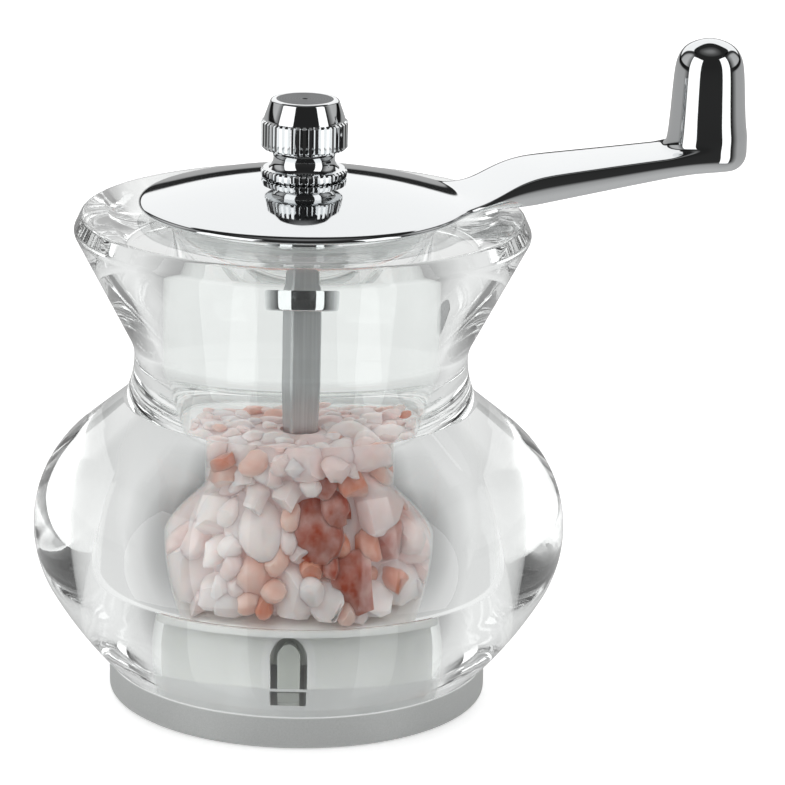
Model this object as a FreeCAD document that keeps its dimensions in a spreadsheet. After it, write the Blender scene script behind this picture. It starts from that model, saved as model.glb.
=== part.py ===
import FreeCAD, Part
import math
import os
import re
import Sketcher

# A clear squat salt and pepper mill with a one-piece crank lid.
# Frame: origin on the mill's axis at the table, +Z up, the crank's arm along +X.
# Lengths are in mm and angles in degrees.

SIZES = {
    # clear pot, from the foot up
    "base_height": 6.1,
    "bulb_radius": 48.4,
    "foot_setback": 13.8,
    "bulb_height": 31.4,
    "bulb_round": 21.7,
    "bulb_under_angle": 29.8,
    "shoulder_angle": 50.7,
    "waist_setback": 18.25,
    "crease_step": 1.85,
    "waist_height": 63.0,
    "neck_round": 8.0,
    "cone_angle": 27.5,
    "lip_radius": 41.0,
    "lip_round": 1.6,
    "lip_rise": 2.88,
    "chamber_radius": 24.2,
    "belly_swell": 1.35,
    "belly_round": 17.5,
    "belly_rise": 4.95,
    "bore_round": 36.5,
    "well_radius": 25.2,
    "well_top": 23.6,
    # clearances
    "fit_gap": 0.05,
    "seat_gap": 0.05,
    "run_gap": 0.08,
    "well_gap": 0.2,
    # base ring and its spigot
    "base_setback": 0.1,
    "base_edge": 0.8,
    "base_lip": 2.4,
    "mouth_radius": 18.8,
    "spigot_top": 14.4,
    "spigot_wall": 1.4,
    "window_width": 5.6,
    "window_bottom": 10.4,
    "window_top": 13.8,
    # grinder housing with its snap tongues
    "flange_height": 0.7,
    "sleeve_wall": 1.4,
    "sleeve_bottom": 7.2,
    "barrel_radius": 18.4,
    "barrel_bottom": 3.0,
    "barrel_roof": 19.5,
    "throat_radius": 13.4,
    "ledge_drop": 2.2,
    "ledge_radius": 16.8,
    "tongue_count": 3,
    "tongue_turn": -11.0,
    "tongue_width": 3.4,
    "slit_width": 1.1,
    "slit_top": 22.5,
    "slit_crown_ratio": 1.1,
    "hook_reach": 1.3,
    "hook_height": 2.2,
    # burrs
    "burr_bottom": 6.2,
    "burr_height": 7.4,
    "ring_burr_radius": 16.0,
    "rotor_base_radius": 11.8,
    "rotor_top_radius": 8.8,
    "grind_gap": 0.4,
    "ring_tooth_count": 18,
    "rotor_tooth_count": 14,
    "tooth_depth": 1.1,
    "tooth_width": 1.7,
    "tooth_slant": 9.0,
    "snap_ring_wire": 1.0,
    "snap_ring_width": 1.7,
    "snap_ring_opening": 40.0,
    # bridge over the throat
    "bar_thickness": 1.4,
    "bar_width": 6.4,
    "bar_eye_radius": 8.0,
    "bush_wall": 1.0,
    "bush_flange": 0.8,
    "bush_flange_width": 1.4,
    "bush_rise": 0.4,
    "bridge_screw_spread": 15.1,
    "bridge_screw_radius": 0.95,
    "bridge_screw_depth": 5.0,
    "bridge_head_radius": 1.6,
    "bridge_head_height": 1.1,
    # rotor stack on the shaft
    "shaft_side": 5.5,
    "shaft_bevel": 0.35,
    "shaft_turn": 10.0,
    "thread_radius": 2.5,
    "thread_length": 9.6,
    "square_step": 1.2,
    "carrier_flats": 10.0,
    "collar_radius": 7.0,
    "collar_height": 1.4,
    "washer_radius": 6.6,
    "washer_thickness": 0.5,
    "end_washer_radius": 7.2,
    "end_washer_thickness": 0.6,
    "rotor_screw_radius": 1.5,
    "rotor_screw_depth": 6.0,
    "rotor_head_radius": 2.9,
    "rotor_head_height": 1.8,
    "spring_wire": 0.7,
    "spring_radius": 5.5,
    "spring_turns": 2.75,
    # contents
    "salt_top": 49.0,
    "salt_gap": 0.3,
    "crystal_size": 8.4,
    "crystal_rise": 3.2,
    "crystal_sink": 1.2,
    "crystal_taper": 25.0,
    "crystal_count": 8,
    "crown_count": 11,
    "inner_crown_count": 6,
    # crank lid, one casting
    "lid_lift": 0.3,
    "lid_radius": 29.5,
    "rim_thickness": 1.1,
    "dome_height": 4.4,
    "spot_radius": 8.0,
    "hub_radius": 6.55,
    "hub_drop": 8.0,
    "recess_radius": 27.4,
    "recess_depth": 0.8,
    "arm_reach": 73.5,
    "arm_dip_start": 25.0,
    "arm_dip_round": 17.0,
    "arm_crest_round": 21.0,
    "arm_swell_angle": 33.0,
    "arm_rise": 6.0,
    "arm_under_start": 39.5,
    "arm_under_rise": 10.0,
    "arm_belly_ratio": 0.38,
    "arm_root_half": 10.3,
    "arm_swell_half": 10.1,
    "arm_crest_half": 9.1,
    "arm_middle_half": 7.8,
    "arm_tip_half": 7.1,
    "flare_round": 8.0,
    "knob_sink": 0.3,
    "knob_height": 23.8,
    "knob_dome": 4.9,
    "knob_base_radius": 7.3,
    "knob_top_radius": 6.3,
    "knob_foot_round": 1.2,
    # glide ring under the lid
    "glide_thickness": 0.9,
    "glide_skirt": 3.0,
    "glide_wall": 1.6,
    # knurled thumb nut
    "nut_flange_radius": 7.7,
    "nut_flange_height": 1.7,
    "nut_neck_radius": 5.5,
    "nut_neck_height": 3.6,
    "nut_band_radius": 7.75,
    "nut_band_height": 4.2,
    "nut_crown_height": 4.1,
    "nut_top_radius": 6.0,
    "nut_dimple": 0.5,
    "nut_bore_spare": 1.4,
}

# Places that several pieces share, worked out from the sizes above
FOOT_RADIUS = "(bulb_radius - foot_setback)"
WAIST_RADIUS = "(bulb_radius - waist_setback)"
CREASE_RADIUS = "(bulb_radius - waist_setback + crease_step)"
BULB_AXIS = "(bulb_radius - bulb_round)"
NECK_X = f"({WAIST_RADIUS} + neck_round * (1 - cos(cone_angle)))"
NECK_Z = "(waist_height + neck_round * sin(cone_angle))"
LIP_X = "(lip_radius - lip_round)"
LIP_Z = (f"({NECK_Z} + ({LIP_X} + lip_round * cos(cone_angle) - {NECK_X}) / tan(cone_angle)"
         " + lip_round * sin(cone_angle))")
FACE_X = f"({LIP_X} + lip_round * sin(cone_angle))"
FACE_Z = f"({LIP_Z} + lip_round * cos(cone_angle))"
POT_TOP = f"({FACE_Z} + lip_rise)"
BELLY_MIDDLE = "(chamber_radius + belly_swell - belly_round)"
BELLY_REACH = "(belly_round + bore_round)"
BELLY_CLIMB = f"sqrt({BELLY_REACH}^2 - ({BELLY_REACH} - belly_swell)^2)"
FLANGE_TOP = "(well_top - well_gap)"
LEDGE = "(well_top - well_gap - ledge_drop)"
SPIGOT_RADIUS = "(well_radius - fit_gap)"
SPIGOT_BORE = "(well_radius - fit_gap - spigot_wall)"
SLEEVE_RADIUS = "(well_radius - fit_gap - spigot_wall - well_gap)"
SLEEVE_BORE = "(well_radius - fit_gap - spigot_wall - well_gap - sleeve_wall)"
BURR_TOP = "(burr_bottom + burr_height)"
BURR_SEAT = "(burr_bottom + burr_height + seat_gap)"
BURR_POCKET = "(ring_burr_radius + fit_gap)"
SNAP_TOP = "(burr_bottom - seat_gap)"
SNAP_RADIUS = "(ring_burr_radius + snap_ring_width / 2)"
SHAFT_CORNER = "sqrt((shaft_side / 2)^2 + (shaft_side / 2 - shaft_bevel)^2)"
BAR_BOTTOM = f"({LEDGE} + seat_gap)"
BAR_TOP = f"({LEDGE} + seat_gap + bar_thickness)"
BUSH_BORE = f"({SHAFT_CORNER} + fit_gap)"
BUSH_RADIUS = f"({SHAFT_CORNER} + fit_gap + bush_wall)"
BUSH_BOTTOM = f"({LEDGE} - bush_flange)"
UPPER_WASHER_TOP = f"({LEDGE} - bush_flange - seat_gap)"
SPRING_TOP = f"({LEDGE} - bush_flange - 2 * seat_gap - washer_thickness)"
COLLAR_BOTTOM = "(burr_bottom + burr_height + seat_gap)"
COLLAR_TOP = "(burr_bottom + burr_height + seat_gap + collar_height)"
SPRING_BOTTOM = "(burr_bottom + burr_height + 3 * seat_gap + collar_height + washer_thickness)"
END_WASHER_TOP = "(burr_bottom - seat_gap)"
SCREW_SEAT = "(burr_bottom - 2 * seat_gap - end_washer_thickness)"
SHAFT_BOTTOM = "(burr_bottom + 4 * seat_gap)"
LID_UNDER = f"({POT_TOP} + lid_lift)"
RIM_TOP = f"({POT_TOP} + lid_lift + rim_thickness)"
RIM_INNER = "(lid_radius - rim_thickness / 2)"
DOME_ROUND = "((lid_radius - rim_thickness / 2)^2 + dome_height^2) / (2 * dome_height)"
SPOT_TOP = f"({RIM_TOP} + dome_height - {DOME_ROUND} + sqrt(({DOME_ROUND})^2 - spot_radius^2))"
NUT_BASE = f"({SPOT_TOP} + run_gap)"
SQUARE_TOP = f"({SPOT_TOP} - square_step)"

doc = FreeCAD.newDocument("mill")
sheet = doc.addObject("Spreadsheet::Sheet", "dims")
for row, (alias, size) in enumerate(SIZES.items(), start=1):
    sheet.set(f"A{row}", alias)
    sheet.set(f"B{row}", str(size))
    sheet.setAlias(f"B{row}", alias)
doc.recompute()


def bound(text):
    # An expression with each size's name tied to its cell
    return re.sub(r"[a-z]\w*", lambda word: "dims." + word[0] if word[0] in SIZES else word[0], text)


def value(text):
    return float(sheet.evalExpression(bound(text)))


def new_body(label):
    body = doc.addObject("PartDesign::Body", label)
    body.Label = label
    return body


def origin_feature(body, role):
    return next(item for item in body.Origin.OriginFeatures if item.Role == role)


def new_sketch(body, name, role="XZ_Plane", lift=None, shift=None):
    # lift moves the sketch along its plane's normal, shift along its own first axis
    sketch = body.newObject("Sketcher::SketchObject", name)
    sketch.AttachmentSupport = (origin_feature(body, role), [""])
    sketch.MapMode = "FlatFace"
    if lift:
        sketch.setExpression("AttachmentOffset.Base.z", bound(lift))
    if shift:
        sketch.setExpression("AttachmentOffset.Base.x", bound(shift))
    doc.recompute()
    return sketch


def pin(sketch, edge, end, kind, text):
    # Hold one end of an edge at a distance from the sketch's origin
    place = value(text)
    if abs(place) < 1e-9:
        axis = -2 if kind == "DistanceX" else -1
        sketch.addConstraint(Sketcher.Constraint("PointOnObject", edge, end, axis))
        return
    ends = (-1, 1, edge, end) if place > 0 else (edge, end, -1, 1)
    index = sketch.addConstraint(Sketcher.Constraint(kind, *ends, abs(place)))
    sketch.setExpression(f"Constraints[{index}]", bound(text if place > 0 else f"-({text})"))


def outline(sketch, corners, bends=None):
    # A closed outline: bends gives an edge's radius, and +1 or -1 for the side of its line that it bulges to
    bends = bends or {}
    places = [FreeCAD.Vector(value(x), value(y), 0) for x, y in corners]
    first = sketch.GeometryCount
    starts = []
    for index, start in enumerate(places):
        end = places[(index + 1) % len(places)]
        if index in bends:
            radius, side = value(bends[index][0]), bends[index][1]
            chord = end - start
            sag = radius - math.sqrt(max(radius * radius - chord.Length ** 2 / 4, 0.0))
            across = FreeCAD.Vector(-chord.y, chord.x, 0).normalize()
            edge = sketch.addGeometry(Part.Arc(start, (start + end) * 0.5 + across * (side * sag), end))
        else:
            edge = sketch.addGeometry(Part.LineSegment(start, end))
        starts.append(1 if sketch.getPoint(edge, 1).distanceToPoint(start) < 1e-6 else 2)
    for index, (x, y) in enumerate(corners):
        follower = (index + 1) % len(corners)
        sketch.addConstraint(Sketcher.Constraint(
            "Coincident", first + index, 3 - starts[index], first + follower, starts[follower]))
        pin(sketch, first + index, starts[index], "DistanceX", x)
        pin(sketch, first + index, starts[index], "DistanceY", y)
    for index, (radius, _) in bends.items():
        row = sketch.addConstraint(Sketcher.Constraint("Radius", first + index, value(radius)))
        sketch.setExpression(f"Constraints[{row}]", bound(radius))


def circle(sketch, radius, x="0", y="0"):
    edge = sketch.addGeometry(Part.Circle(
        FreeCAD.Vector(value(x), value(y), 0), FreeCAD.Vector(0, 0, 1), value(radius)))
    pin(sketch, edge, 3, "DistanceX", x)
    pin(sketch, edge, 3, "DistanceY", y)
    row = sketch.addConstraint(Sketcher.Constraint("Radius", edge, value(radius)))
    sketch.setExpression(f"Constraints[{row}]", bound(radius))


def rectangle(sketch, left, right, low, high):
    outline(sketch, [(left, low), (right, low), (right, high), (left, high)])


def square(sketch, side):
    rectangle(sketch, f"-{side} / 2", f"{side} / 2", f"-{side} / 2", f"{side} / 2")


def hexagon(sketch, flats):
    corner = f"{flats} / (2 * cos(30))"
    outline(sketch, [(f"{corner} * cos({60 * turn})", f"{corner} * sin({60 * turn})") for turn in range(6)])


def turn(body, name, corners, bends=None, shift=None):
    # A solid of revolution about the vertical axis of its sketch
    sketch = new_sketch(body, name + "_profile", shift=shift)
    outline(sketch, corners, bends)
    feature = body.newObject("PartDesign::Revolution", name)
    feature.Profile = sketch
    feature.ReferenceAxis = (sketch, ["V_Axis"])
    feature.Angle = 360
    doc.recompute()
    return feature


def pad(body, name, sketch, length, both_ways=False):
    feature = body.newObject("PartDesign::Pad", name)
    feature.Profile = sketch
    feature.setExpression("Length", bound(length))
    feature.SideType = "Symmetric" if both_ways else "One side"
    doc.recompute()
    return feature


def tapered(body, name, sketch, length, taper):
    # A pad that narrows as it rises
    feature = pad(body, name, sketch, length)
    feature.setExpression("TaperAngle", bound(f"-{taper}"))
    doc.recompute()
    return feature


def pocket(body, name, sketch, length, backwards=False, both_ways=False):
    # A cut that has to take material away
    before = body.Shape.Volume
    feature = body.newObject("PartDesign::Pocket", name)
    feature.Profile = sketch
    feature.setExpression("Length", bound(length))
    feature.Reversed = backwards
    feature.SideType = "Symmetric" if both_ways else "One side"
    doc.recompute()
    if body.Shape.Volume > before - 1e-6:
        raise RuntimeError(f"{body.Label}: {name} cuts nothing")
    return feature


def round_copies(body, name, originals, count):
    # The same features repeated evenly about the mill's axis
    feature = body.newObject("PartDesign::PolarPattern", name)
    feature.Originals = originals
    feature.Axis = (origin_feature(body, "Z_Axis"), [""])
    feature.Angle = 360
    feature.setExpression("Occurrences", bound(count))
    body.Tip = feature
    doc.recompute()
    return feature


def clear_pot():
    body = new_body("clear_pot")
    low_x = f"({BULB_AXIS} + bulb_round * cos(bulb_under_angle))"
    low_z = "(bulb_height - bulb_round * sin(bulb_under_angle))"
    high_x = f"({BULB_AXIS} + bulb_round * cos(shoulder_angle))"
    high_z = "(bulb_height + bulb_round * sin(shoulder_angle))"
    crease_z = f"({high_z} + ({high_x} - {CREASE_RADIUS}) / tan(shoulder_angle))"
    under_round = (f"(({low_x} - {FOOT_RADIUS})^2 + ({low_z} - base_height)^2)"
                   f" / (2 * (({low_x} - {FOOT_RADIUS}) * cos(bulb_under_angle)"
                   f" - ({low_z} - base_height) * sin(bulb_under_angle)))")
    waist_round = f"(crease_step^2 + (waist_height - {crease_z})^2) / (2 * crease_step)"
    # the chamber swells a little inside the bulb, below a long soft shoulder
    share = f"belly_round / {BELLY_REACH}"
    turn(body, "pot", [
        ("well_radius", "base_height"),
        (FOOT_RADIUS, "base_height"),
        (low_x, low_z),
        (high_x, high_z),
        (CREASE_RADIUS, crease_z),
        (WAIST_RADIUS, "waist_height"),
        (NECK_X, NECK_Z),
        (f"{LIP_X} + lip_round * cos(cone_angle)", f"{LIP_Z} - lip_round * sin(cone_angle)"),
        (FACE_X, FACE_Z),
        (f"{FACE_X} - lip_rise / tan(cone_angle)", POT_TOP),
        ("chamber_radius", POT_TOP),
        ("chamber_radius", f"well_top + belly_rise + {BELLY_CLIMB}"),
        (f"{BELLY_MIDDLE} + ({BELLY_REACH} - belly_swell) * {share}",
         f"well_top + belly_rise + {BELLY_CLIMB} * {share}"),
        (f"{BELLY_MIDDLE} + sqrt(belly_round^2 - belly_rise^2)", "well_top"),
        ("well_radius", "well_top"),
    ], {1: (under_round, -1), 2: ("bulb_round", -1), 4: (waist_round, 1), 5: ("neck_round", 1),
        7: ("lip_round", -1), 11: ("bore_round", -1), 12: ("belly_round", 1)})
    return body


def base_ring():
    body = new_body("base_ring")
    edge = f"({FOOT_RADIUS} - base_setback)"
    turn(body, "ring", [
        ("mouth_radius", "0"),
        (f"{edge} - base_edge", "0"),
        (edge, "base_edge"),
        (edge, "base_height - seat_gap"),
        (SPIGOT_RADIUS, "base_height - seat_gap"),
        (SPIGOT_RADIUS, "spigot_top"),
        (SPIGOT_BORE, "spigot_top"),
        (SPIGOT_BORE, "base_lip"),
        ("mouth_radius", "base_lip"),
    ], {1: ("base_edge", -1)})
    window = new_sketch(body, "window_outline")
    rectangle(window, "-window_width / 2", "window_width / 2", "window_bottom", "window_top")
    cut = pocket(body, "window", window, "well_radius", backwards=True)
    round_copies(body, "windows", [cut], "tongue_count")
    body.Placement.Rotation = FreeCAD.Rotation(FreeCAD.Vector(0, 0, 1), value("tongue_turn"))
    body.setExpression("Placement.Rotation.Angle", bound("tongue_turn"))
    return body


def grinder_housing():
    body = new_body("grinder_housing")
    turn(body, "shell", [
        (BURR_POCKET, "barrel_bottom"),
        ("barrel_radius", "barrel_bottom"),
        ("barrel_radius", "barrel_roof"),
        (SLEEVE_BORE, "barrel_roof"),
        (SLEEVE_BORE, "sleeve_bottom"),
        (SLEEVE_RADIUS, "sleeve_bottom"),
        (SLEEVE_RADIUS, f"{FLANGE_TOP} - flange_height"),
        ("well_radius - well_gap", f"{FLANGE_TOP} - flange_height"),
        ("well_radius - well_gap", FLANGE_TOP),
        ("ledge_radius", FLANGE_TOP),
        ("ledge_radius", LEDGE),
        ("throat_radius", LEDGE),
        ("throat_radius", BURR_SEAT),
        (BURR_POCKET, BURR_SEAT),
        (BURR_POCKET, SNAP_TOP),
        (f"{SNAP_RADIUS} + fit_gap", SNAP_TOP),
        (f"{SNAP_RADIUS} + fit_gap", f"{SNAP_TOP} - snap_ring_wire - 2 * seat_gap"),
        (BURR_POCKET, f"{SNAP_TOP} - snap_ring_wire - 2 * seat_gap"),
    ])
    slit = new_sketch(body, "slit_outline", lift=f"{SLEEVE_BORE} - slit_width / 2")
    inner, outer = "tongue_width / 2", "(tongue_width / 2 + slit_width)"
    crown_rise = f"{outer} * (slit_crown_ratio - sqrt(slit_crown_ratio^2 - 1))"
    spring_line, low = f"slit_top - {crown_rise}", "sleeve_bottom - slit_width"
    outline(slit, [
        (f"-{outer}", low), (f"-{inner}", low), (f"-{inner}", spring_line),
        (inner, spring_line), (inner, low), (outer, low), (outer, spring_line), (f"-{outer}", spring_line),
    ], {2: (f"{inner} * slit_crown_ratio", 1), 6: (f"{outer} * slit_crown_ratio", -1)})
    cut = pocket(body, "slit", slit, "sleeve_wall + slit_width", backwards=True)
    hook = new_sketch(body, "hook_outline", role="YZ_Plane")
    hook_top = "window_top - seat_gap - well_gap"
    outline(hook, [
        (f"-{SLEEVE_RADIUS} + sleeve_wall / 2", hook_top),
        (f"-{SLEEVE_RADIUS} - hook_reach", hook_top),
        (f"-{SLEEVE_RADIUS}", f"{hook_top} - hook_height"),
        (f"-{SLEEVE_RADIUS} + sleeve_wall / 2", f"{hook_top} - hook_height"),
    ])
    barb = pad(body, "hook", hook, "tongue_width - 2 * fit_gap", both_ways=True)
    round_copies(body, "tongues", [cut, barb], "tongue_count")
    holes = new_sketch(body, "screw_hole_outline", role="XY_Plane", lift=LEDGE)
    circle(holes, "bridge_screw_radius + fit_gap",
           x="bridge_screw_spread * cos(tongue_turn)", y="-bridge_screw_spread * sin(tongue_turn)")
    hole = pocket(body, "screw_hole", holes, "bridge_screw_depth + fit_gap")
    round_copies(body, "screw_holes", [hole], "2")
    body.Placement.Rotation = FreeCAD.Rotation(FreeCAD.Vector(0, 0, 1), value("tongue_turn"))
    body.setExpression("Placement.Rotation.Angle", bound("tongue_turn"))
    return body


def flute(body, name, radius, height, inward, slant):
    # One end of a tooth gap: a triangle that points into the burr from its face
    sketch = new_sketch(body, name, role="XY_Plane", lift=height)
    mouth = f"({radius} {'-' if inward else '+'} tooth_depth / 2)"
    root = f"({radius} {'+' if inward else '-'} tooth_depth)"
    half = "(tooth_width / 2)"
    across, along = f"{half} * sin({slant})", f"{half} * cos({slant})"
    outline(sketch, [
        (f"{mouth} * cos({slant}) + {across}", f"{mouth} * sin({slant}) - {along}"),
        (f"{root} * cos({slant})", f"{root} * sin({slant})"),
        (f"{mouth} * cos({slant}) - {across}", f"{mouth} * sin({slant}) + {along}"),
    ])
    return sketch


def cut_teeth(body, low_radius, high_radius, inward, slant, count):
    # Slanting teeth: one tapered gap from the lower face to the upper one, repeated round the axis
    low = flute(body, "gap_low", low_radius, "burr_bottom - seat_gap", inward, "0")
    high = flute(body, "gap_high", high_radius, f"{BURR_TOP} + seat_gap", inward, slant)
    before = body.Shape.Volume
    gap = body.newObject("PartDesign::SubtractiveLoft", "tooth_gap")
    gap.Profile = low
    gap.Sections = [high]
    gap.Ruled = True
    doc.recompute()
    round_copies(body, "tooth_gaps", [gap], count)
    if body.Shape.Volume > before - 1e-6:
        raise RuntimeError(f"{body.Label}: the teeth cut nothing")


def ring_burr():
    body = new_body("ring_burr")
    low, high = "(rotor_base_radius + grind_gap)", "(rotor_top_radius + grind_gap)"
    turn(body, "blank", [
        (low, "burr_bottom"), ("ring_burr_radius", "burr_bottom"),
        ("ring_burr_radius", BURR_TOP), (high, BURR_TOP),
    ])
    cut_teeth(body, low, high, True, "tooth_slant", "ring_tooth_count")
    return body


def rotor_burr():
    body = new_body("rotor_burr")
    turn(body, "blank", [
        ("0", "burr_bottom"), ("rotor_base_radius", "burr_bottom"),
        ("rotor_top_radius", BURR_TOP), ("0", BURR_TOP),
    ])
    cut_teeth(body, "rotor_base_radius", "rotor_top_radius", False, "-tooth_slant", "rotor_tooth_count")
    bore = new_sketch(body, "bore_outline", role="XY_Plane", lift="burr_bottom")
    hexagon(bore, "(carrier_flats + 2 * fit_gap)")
    pocket(body, "bore", bore, "burr_height", backwards=True)
    return body


def burr_snap_ring():
    body = new_body("burr_snap_ring")
    sketch = new_sketch(body, "ring_outline", role="XY_Plane", lift=f"{SNAP_TOP} - snap_ring_wire - seat_gap")
    inner = f"({SNAP_RADIUS} - snap_ring_width)"
    half = "(snap_ring_opening / 2)"
    circle(sketch, SNAP_RADIUS)
    circle(sketch, inner)
    pad(body, "ring", sketch, "snap_ring_wire")
    gap = new_sketch(body, "gap_outline", role="XY_Plane", lift=SNAP_TOP)
    outline(gap, [
        ("0", "0"),
        (f"1.2 * {SNAP_RADIUS}", f"-1.2 * {SNAP_RADIUS} * tan({half})"),
        (f"1.2 * {SNAP_RADIUS}", f"1.2 * {SNAP_RADIUS} * tan({half})"),
    ])
    pocket(body, "gap", gap, "2 * snap_ring_wire")
    return body


def bridge_bar():
    body = new_body("bridge_bar")
    sketch = new_sketch(body, "bar_outline", role="XY_Plane", lift=BAR_BOTTOM)
    half, reach = "(bar_width / 2)", "(ledge_radius - well_gap)"
    shoulder = f"sqrt({reach}^2 - {half}^2)"
    outline(sketch, [
        (f"-{shoulder}", f"-{half}"), (shoulder, f"-{half}"), (shoulder, half), (f"-{shoulder}", half),
    ], {1: (reach, -1), 3: (reach, -1)})
    pad(body, "bar", sketch, "bar_thickness")
    eye = new_sketch(body, "eye_outline", role="XY_Plane", lift=BAR_BOTTOM)
    circle(eye, "bar_eye_radius")
    pad(body, "eye", eye, "bar_thickness")
    bore = new_sketch(body, "bush_hole_outline", role="XY_Plane", lift=BAR_BOTTOM)
    circle(bore, f"{BUSH_RADIUS} + fit_gap")
    pocket(body, "bush_hole", bore, "bar_thickness", backwards=True)
    hole = new_sketch(body, "screw_hole_outline", role="XY_Plane", lift=BAR_BOTTOM)
    circle(hole, "bridge_screw_radius + fit_gap", x="bridge_screw_spread")
    cut = pocket(body, "screw_hole", hole, "bar_thickness", backwards=True)
    round_copies(body, "screw_holes", [cut], "2")
    return body


def bridge_bush():
    body = new_body("bridge_bush")
    turn(body, "bush", [
        (BUSH_BORE, BUSH_BOTTOM),
        (f"{BUSH_RADIUS} + bush_flange_width", BUSH_BOTTOM),
        (f"{BUSH_RADIUS} + bush_flange_width", LEDGE),
        (BUSH_RADIUS, LEDGE),
        (BUSH_RADIUS, f"{BAR_TOP} + bush_rise"),
        (BUSH_BORE, f"{BAR_TOP} + bush_rise"),
    ])
    return body


def screw(label, seat, x, shank_radius, shank_depth, head_radius, head_height, head_up):
    # A pan-head screw: its shank runs from the seat into the work, its head stands on the seat
    way = 1 if head_up else -1
    head = doc.addObject("Part::Cylinder", label + "_head")
    head.setExpression("Radius", bound(head_radius))
    head.setExpression("Height", bound(head_height))
    head.setExpression("Placement.Base.z", bound(seat if head_up else f"{seat} - {head_height}"))
    shank = doc.addObject("Part::Cylinder", label + "_shank")
    shank.setExpression("Radius", bound(shank_radius))
    shank.setExpression("Height", bound(shank_depth))
    shank.setExpression("Placement.Base.z", bound(f"{seat} - ({shank_depth})" if way > 0 else seat))
    for piece in (head, shank):
        piece.setExpression("Placement.Base.x", bound(x))
    whole = doc.addObject("Part::Fuse", label)
    whole.Label = label
    whole.Base, whole.Tool = head, shank
    doc.recompute()
    return whole


def bridge_screws():
    pair = [screw(f"bridge_screw_{side}", f"{BAR_TOP} + seat_gap", f"{sign}bridge_screw_spread",
                  "bridge_screw_radius", "bar_thickness + bridge_screw_depth", "bridge_head_radius",
                  "bridge_head_height", True)
            for side, sign in (("left", "-"), ("right", ""))]
    group = doc.addObject("Part::Compound", "bridge_screws")
    group.Label = "bridge_screws"
    group.Links = pair
    doc.recompute()
    return group


def rotor_screw():
    return screw("rotor_screw", SCREW_SEAT, "0", "rotor_screw_radius",
                 f"{SHAFT_BOTTOM} - {SCREW_SEAT} + rotor_screw_depth", "rotor_head_radius",
                 "rotor_head_height", False)


def washer(label, top, bore, radius, thickness):
    body = new_body(label)
    turn(body, "disc", [
        (bore, f"{top} - {thickness}"), (radius, f"{top} - {thickness}"), (radius, top), (bore, top)])
    return body


def rotor_carrier():
    body = new_body("rotor_carrier")
    shank = new_sketch(body, "shank_outline", role="XY_Plane", lift="burr_bottom")
    hexagon(shank, "carrier_flats")
    pad(body, "shank", shank, f"{COLLAR_BOTTOM} - burr_bottom")
    collar = new_sketch(body, "collar_outline", role="XY_Plane", lift=COLLAR_BOTTOM)
    circle(collar, "collar_radius")
    pad(body, "collar", collar, "collar_height")
    bore = new_sketch(body, "bore_outline", role="XY_Plane", lift="burr_bottom")
    square(bore, "(shaft_side + 2 * fit_gap)")
    pocket(body, "bore", bore, f"{COLLAR_TOP} - burr_bottom", backwards=True)
    return body


def drive_shaft():
    body = new_body("drive_shaft")
    rod = new_sketch(body, "rod_outline", role="XY_Plane", lift=SHAFT_BOTTOM)
    half, short = "(shaft_side / 2)", "(shaft_side / 2 - shaft_bevel)"
    outline(rod, [
        (short, f"-{half}"), (half, f"-{short}"), (half, short), (short, half),
        (f"-{short}", half), (f"-{half}", short), (f"-{half}", f"-{short}"), (f"-{short}", f"-{half}"),
    ])
    pad(body, "rod", rod, f"{SQUARE_TOP} - {SHAFT_BOTTOM}")
    stud = new_sketch(body, "stud_outline", role="XY_Plane", lift=SQUARE_TOP)
    circle(stud, "thread_radius")
    pad(body, "stud", stud, f"{NUT_BASE} - {SQUARE_TOP} + thread_length")
    hole = new_sketch(body, "screw_hole_outline", role="XY_Plane", lift=SHAFT_BOTTOM)
    circle(hole, "rotor_screw_radius + fit_gap")
    pocket(body, "screw_hole", hole, "rotor_screw_depth + rotor_screw_radius", backwards=True)
    return body


def biarc(start, start_way, end, end_way):
    # Two arcs that leave and arrive along the given directions and share a tangent where they meet
    span, ways = end - start, start_way + end_way
    square_term = 2 * start_way.dot(end_way) - 2
    pull = span.dot(ways)
    leg = (pull - math.sqrt(pull * pull - square_term * span.dot(span))) / square_term
    corners = (start + start_way * leg, end - end_way * leg)
    joint = (corners[0] + corners[1]) * 0.5
    arcs = []
    for near, corner, far in ((start, corners[0], joint), (joint, corners[1], end)):
        one, two = (near - corner).normalize(), (far - corner).normalize()
        half_turn = (math.pi - one.getAngle(two)) / 2
        depth = leg / math.tan(half_turn) * (1 / math.cos(half_turn) - 1)
        arcs.append(Part.Arc(near, corner + (one + two).normalize() * depth, far).toShape())
    return arcs


def rotor_spring():
    # One unbroken helix of round wire between the two washers
    wire, radius = value("spring_wire"), value("spring_radius")
    low, high = value(SPRING_BOTTOM) + wire / 2, value(SPRING_TOP) - wire / 2
    turns = value("spring_turns")
    pitch = (high - low) / turns

    def place(angle):
        rise = low + pitch * angle / (2 * math.pi)
        return FreeCAD.Vector(radius * math.cos(angle), radius * math.sin(angle), rise)

    def way(angle):
        slope = pitch / (2 * math.pi)
        return FreeCAD.Vector(-radius * math.sin(angle), radius * math.cos(angle), slope).normalize()

    quarters = max(1, round(4 * turns))
    angles = [2 * math.pi * turns * step / quarters for step in range(quarters + 1)]
    edges = []
    for begin, stop in zip(angles, angles[1:]):
        edges += biarc(place(begin), way(begin), place(stop), way(stop))
    section = Part.Wire([Part.Circle(place(0.0), way(0.0), wire / 2).toShape()])
    spring = doc.addObject("Part::Feature", "rotor_spring")
    spring.Label = "rotor_spring"
    spring.Shape = Part.Wire(edges).makePipeShell([section], True, False)
    samples = [place(2 * math.pi * turns * step / 240) for step in range(241)]
    apart = int(240 / turns / 2)
    gap = min((samples[one] - samples[two]).Length
              for one in range(241) for two in range(one + apart, 241)) - wire
    print(f"rotor_spring: least gap between turns {gap:.2f} mm")
    return spring


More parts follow.
